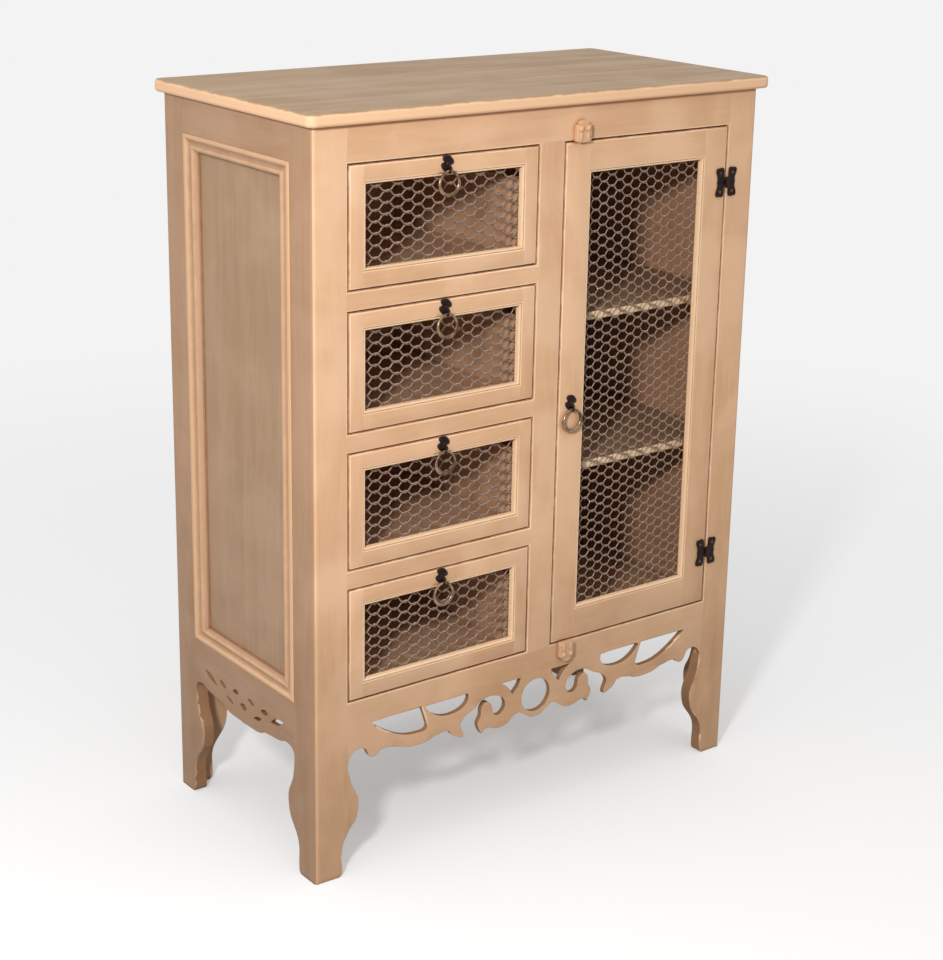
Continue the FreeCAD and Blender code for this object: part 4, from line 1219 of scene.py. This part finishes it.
@dataclass
class Fronts:
    """The four drawer fronts and the door, each a frame round a net."""

    palette: Palette
    leaf: float = 2.0 * MM
    half_pin: float = 7.7 * MM
    aside: float = 12.0 * MM
    rise: float = 14.0 * MM

    def build(self) -> None:
        """Make the drawers and the door, whose net is finer."""
        for drawer in DRAWERS:
            self.build_front(f"{drawer}_face", drawer, (f"{drawer}_front",))
        self.build_front("door_frame", "door",
                         ("door_stile_free", "door_stile_hinge", "door_rails"),
                         column=15.0 * MM, row=15.6 * MM, half_twist=4.9 * MM, wire=1.2 * MM)
        self.hang_door()

    def build_front(self, name: str, body: str, members: Names,
                    **net: float) -> None:
        """Make one frame with its net, strip and pull.

        Args:
            name: The frame's name.
            body: Its body.
            members: The frame's nodes.
            **net: The net's measures where they aren't the usual ones.
        """
        palette = self.palette
        FusedBoards(name, body, members, palette.boards(palette.front),
                    palette.get(palette.arris_wear_and_highlight, Grain.UPRIGHT)).build()
        WireNet(body, palette.get(palette.net), **net).build()
        SightStrip(body, palette.get(palette.trim_highlight, Grain.ACROSS)).build()
        RingPull(body, palette.get(palette.iron), palette.get(palette.ring)).build()

    def hang_door(self) -> None:
        """Dress the hinges and screw them on."""
        palette = self.palette
        dress(palette.get(palette.iron), *(f"hinge_{part}" for part in (
            "frame_leaves", "door_leaves", "pins")))
        low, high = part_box("hinge_pins")
        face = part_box("door_rails")[0].y - self.leaf
        for body, sign in (("case", 1.0), ("door", -1.0)):
            places = [((low.x + high.x) / 2 + sign * self.aside, face, level + rise)
                      for level in (low.z + self.half_pin, high.z - self.half_pin)
                      for rise in (-self.rise, self.rise)]
            ScrewRow(f"hinge_screws_{body}", body, palette.get(palette.steel), places).build()


@dataclass
class Studio:
    """Floor, lamps and camera."""

    near_floor: Triple = (250, 250, 250)
    cloud: Triple = (248, 248, 248)
    bounce: Triple = (150, 148, 145)
    far_floor: Triple = (243, 243, 243)
    half_floor: float = 30.0
    fade: Pair = (0.9, 2.8)
    shadow_lift: float = 0.35
    fill: float = 0.50
    key_place: Triple = (-1.95, -1.68, 1.75)
    key_target: Triple = (0.0, -0.15, 0.6)
    key_size: float = 0.25
    key_power: float = 54.0
    sun_power: float = 0.75
    sun_width: float = math.radians(60.0)
    sun_turn: Triple = (math.radians(12.0), math.radians(-8.0), 0.0)
    place: Triple = (-1.748, -2.340, 1.467)
    yaw: float = math.radians(37.0)
    pitch: float = math.radians(-17.1)
    roll: float = math.radians(1.06)
    focal: float = 1998.0
    shift: float = -53.0
    long_side: float = 960.0
    sensor: float = 36.0
    clip: Pair = (0.05, 200.0)

    def build(self) -> None:
        """Set everything up."""
        self.lay_floor()
        self.light_world()
        key = bpy.data.lights.new("key", "AREA")
        key.shape, key.size, key.energy = "SQUARE", self.key_size, self.key_power
        lamp = add_object("key", key)
        lamp.location = self.key_place
        aim = Vector(self.key_target) - Vector(self.key_place)
        lamp.rotation_euler = aim.to_track_quat("-Z", "Y").to_euler()
        sun = bpy.data.lights.new("overhead", "SUN")
        sun.energy, sun.angle = self.sun_power, self.sun_width
        add_object("overhead", sun).rotation_euler = self.sun_turn
        self.place_camera()

    def lay_floor(self) -> None:
        """Lay the pale floor, which fades into the backdrop far away."""
        made, graph, place = open_material("studio_floor")
        seen = graph.seen()
        tone = graph.blend(graph.noise(place, 1.5, 2.0, 0.5), self.near_floor, self.cloud)
        shader = graph.add("BsdfPrincipled", {
            "Base Color": graph.blend(seen, self.bounce, tone), "Roughness": 0.9,
            "Specular IOR Level": 0.1})
        away = graph.add("VectorMath", {0: place}, operation="LENGTH").outputs["Value"]
        far = graph.span(away, *self.fade, self.shadow_lift, 1.0)
        backdrop = graph.add("Emission", {"Color": linear(self.far_floor)})
        mixed = graph.add("MixShader", {0: graph.calculate("MULTIPLY", far, seen),
                                        1: shader.outputs[0], 2: backdrop.outputs[0]})
        graph.add("OutputMaterial", {"Surface": mixed.outputs[0]})
        shape = bmesh.new()
        bmesh.ops.create_grid(shape, x_segments=2, y_segments=2, size=self.half_floor)
        add_mesh("studio_floor", shape, [made])

    def light_world(self) -> None:
        """Surround the scene with an even soft light."""
        world = bpy.data.worlds.new("studio_light")
        bpy.context.scene.world = world
        world.use_nodes = True
        graph = Graph(world.node_tree)
        shown = linear(self.far_floor)[0]
        strength = graph.span(graph.seen(), 0.0, 1.0, self.fill, shown)
        light = graph.add("Background", {"Color": (1.0, 1.0, 1.0, 1.0), "Strength": strength})
        graph.add("OutputWorld", {"Surface": light.outputs[0]})

    def place_camera(self) -> None:
        """Place the camera at the photograph's angle."""
        data = bpy.data.cameras.new("studio_camera")
        data.sensor_width = self.sensor
        data.lens = self.sensor * self.focal / self.long_side
        data.shift_y = self.shift / self.long_side
        data.clip_start, data.clip_end = self.clip
        camera = add_object("studio_camera", data)
        camera.matrix_world = (Matrix.Translation(self.place)
                               @ Matrix.Rotation(-self.yaw, 4, "Z")
                               @ Matrix.Rotation(QUARTER + self.pitch, 4, "X")
                               @ Matrix.Rotation(self.roll, 4, "Z"))
        bpy.context.scene.camera = camera
        bpy.context.scene.view_settings.view_transform = "Standard"


def main() -> None:
    """Build and dress the cupboard, then light it."""
    logging.basicConfig(level=logging.INFO, format="%(name)s: %(message)s")
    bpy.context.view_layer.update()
    palette = Palette()
    Case(palette).build()
    Fronts(palette).build()
    Studio().build()
    bpy.context.view_layer.update()


if __name__ == "__main__":
    main()
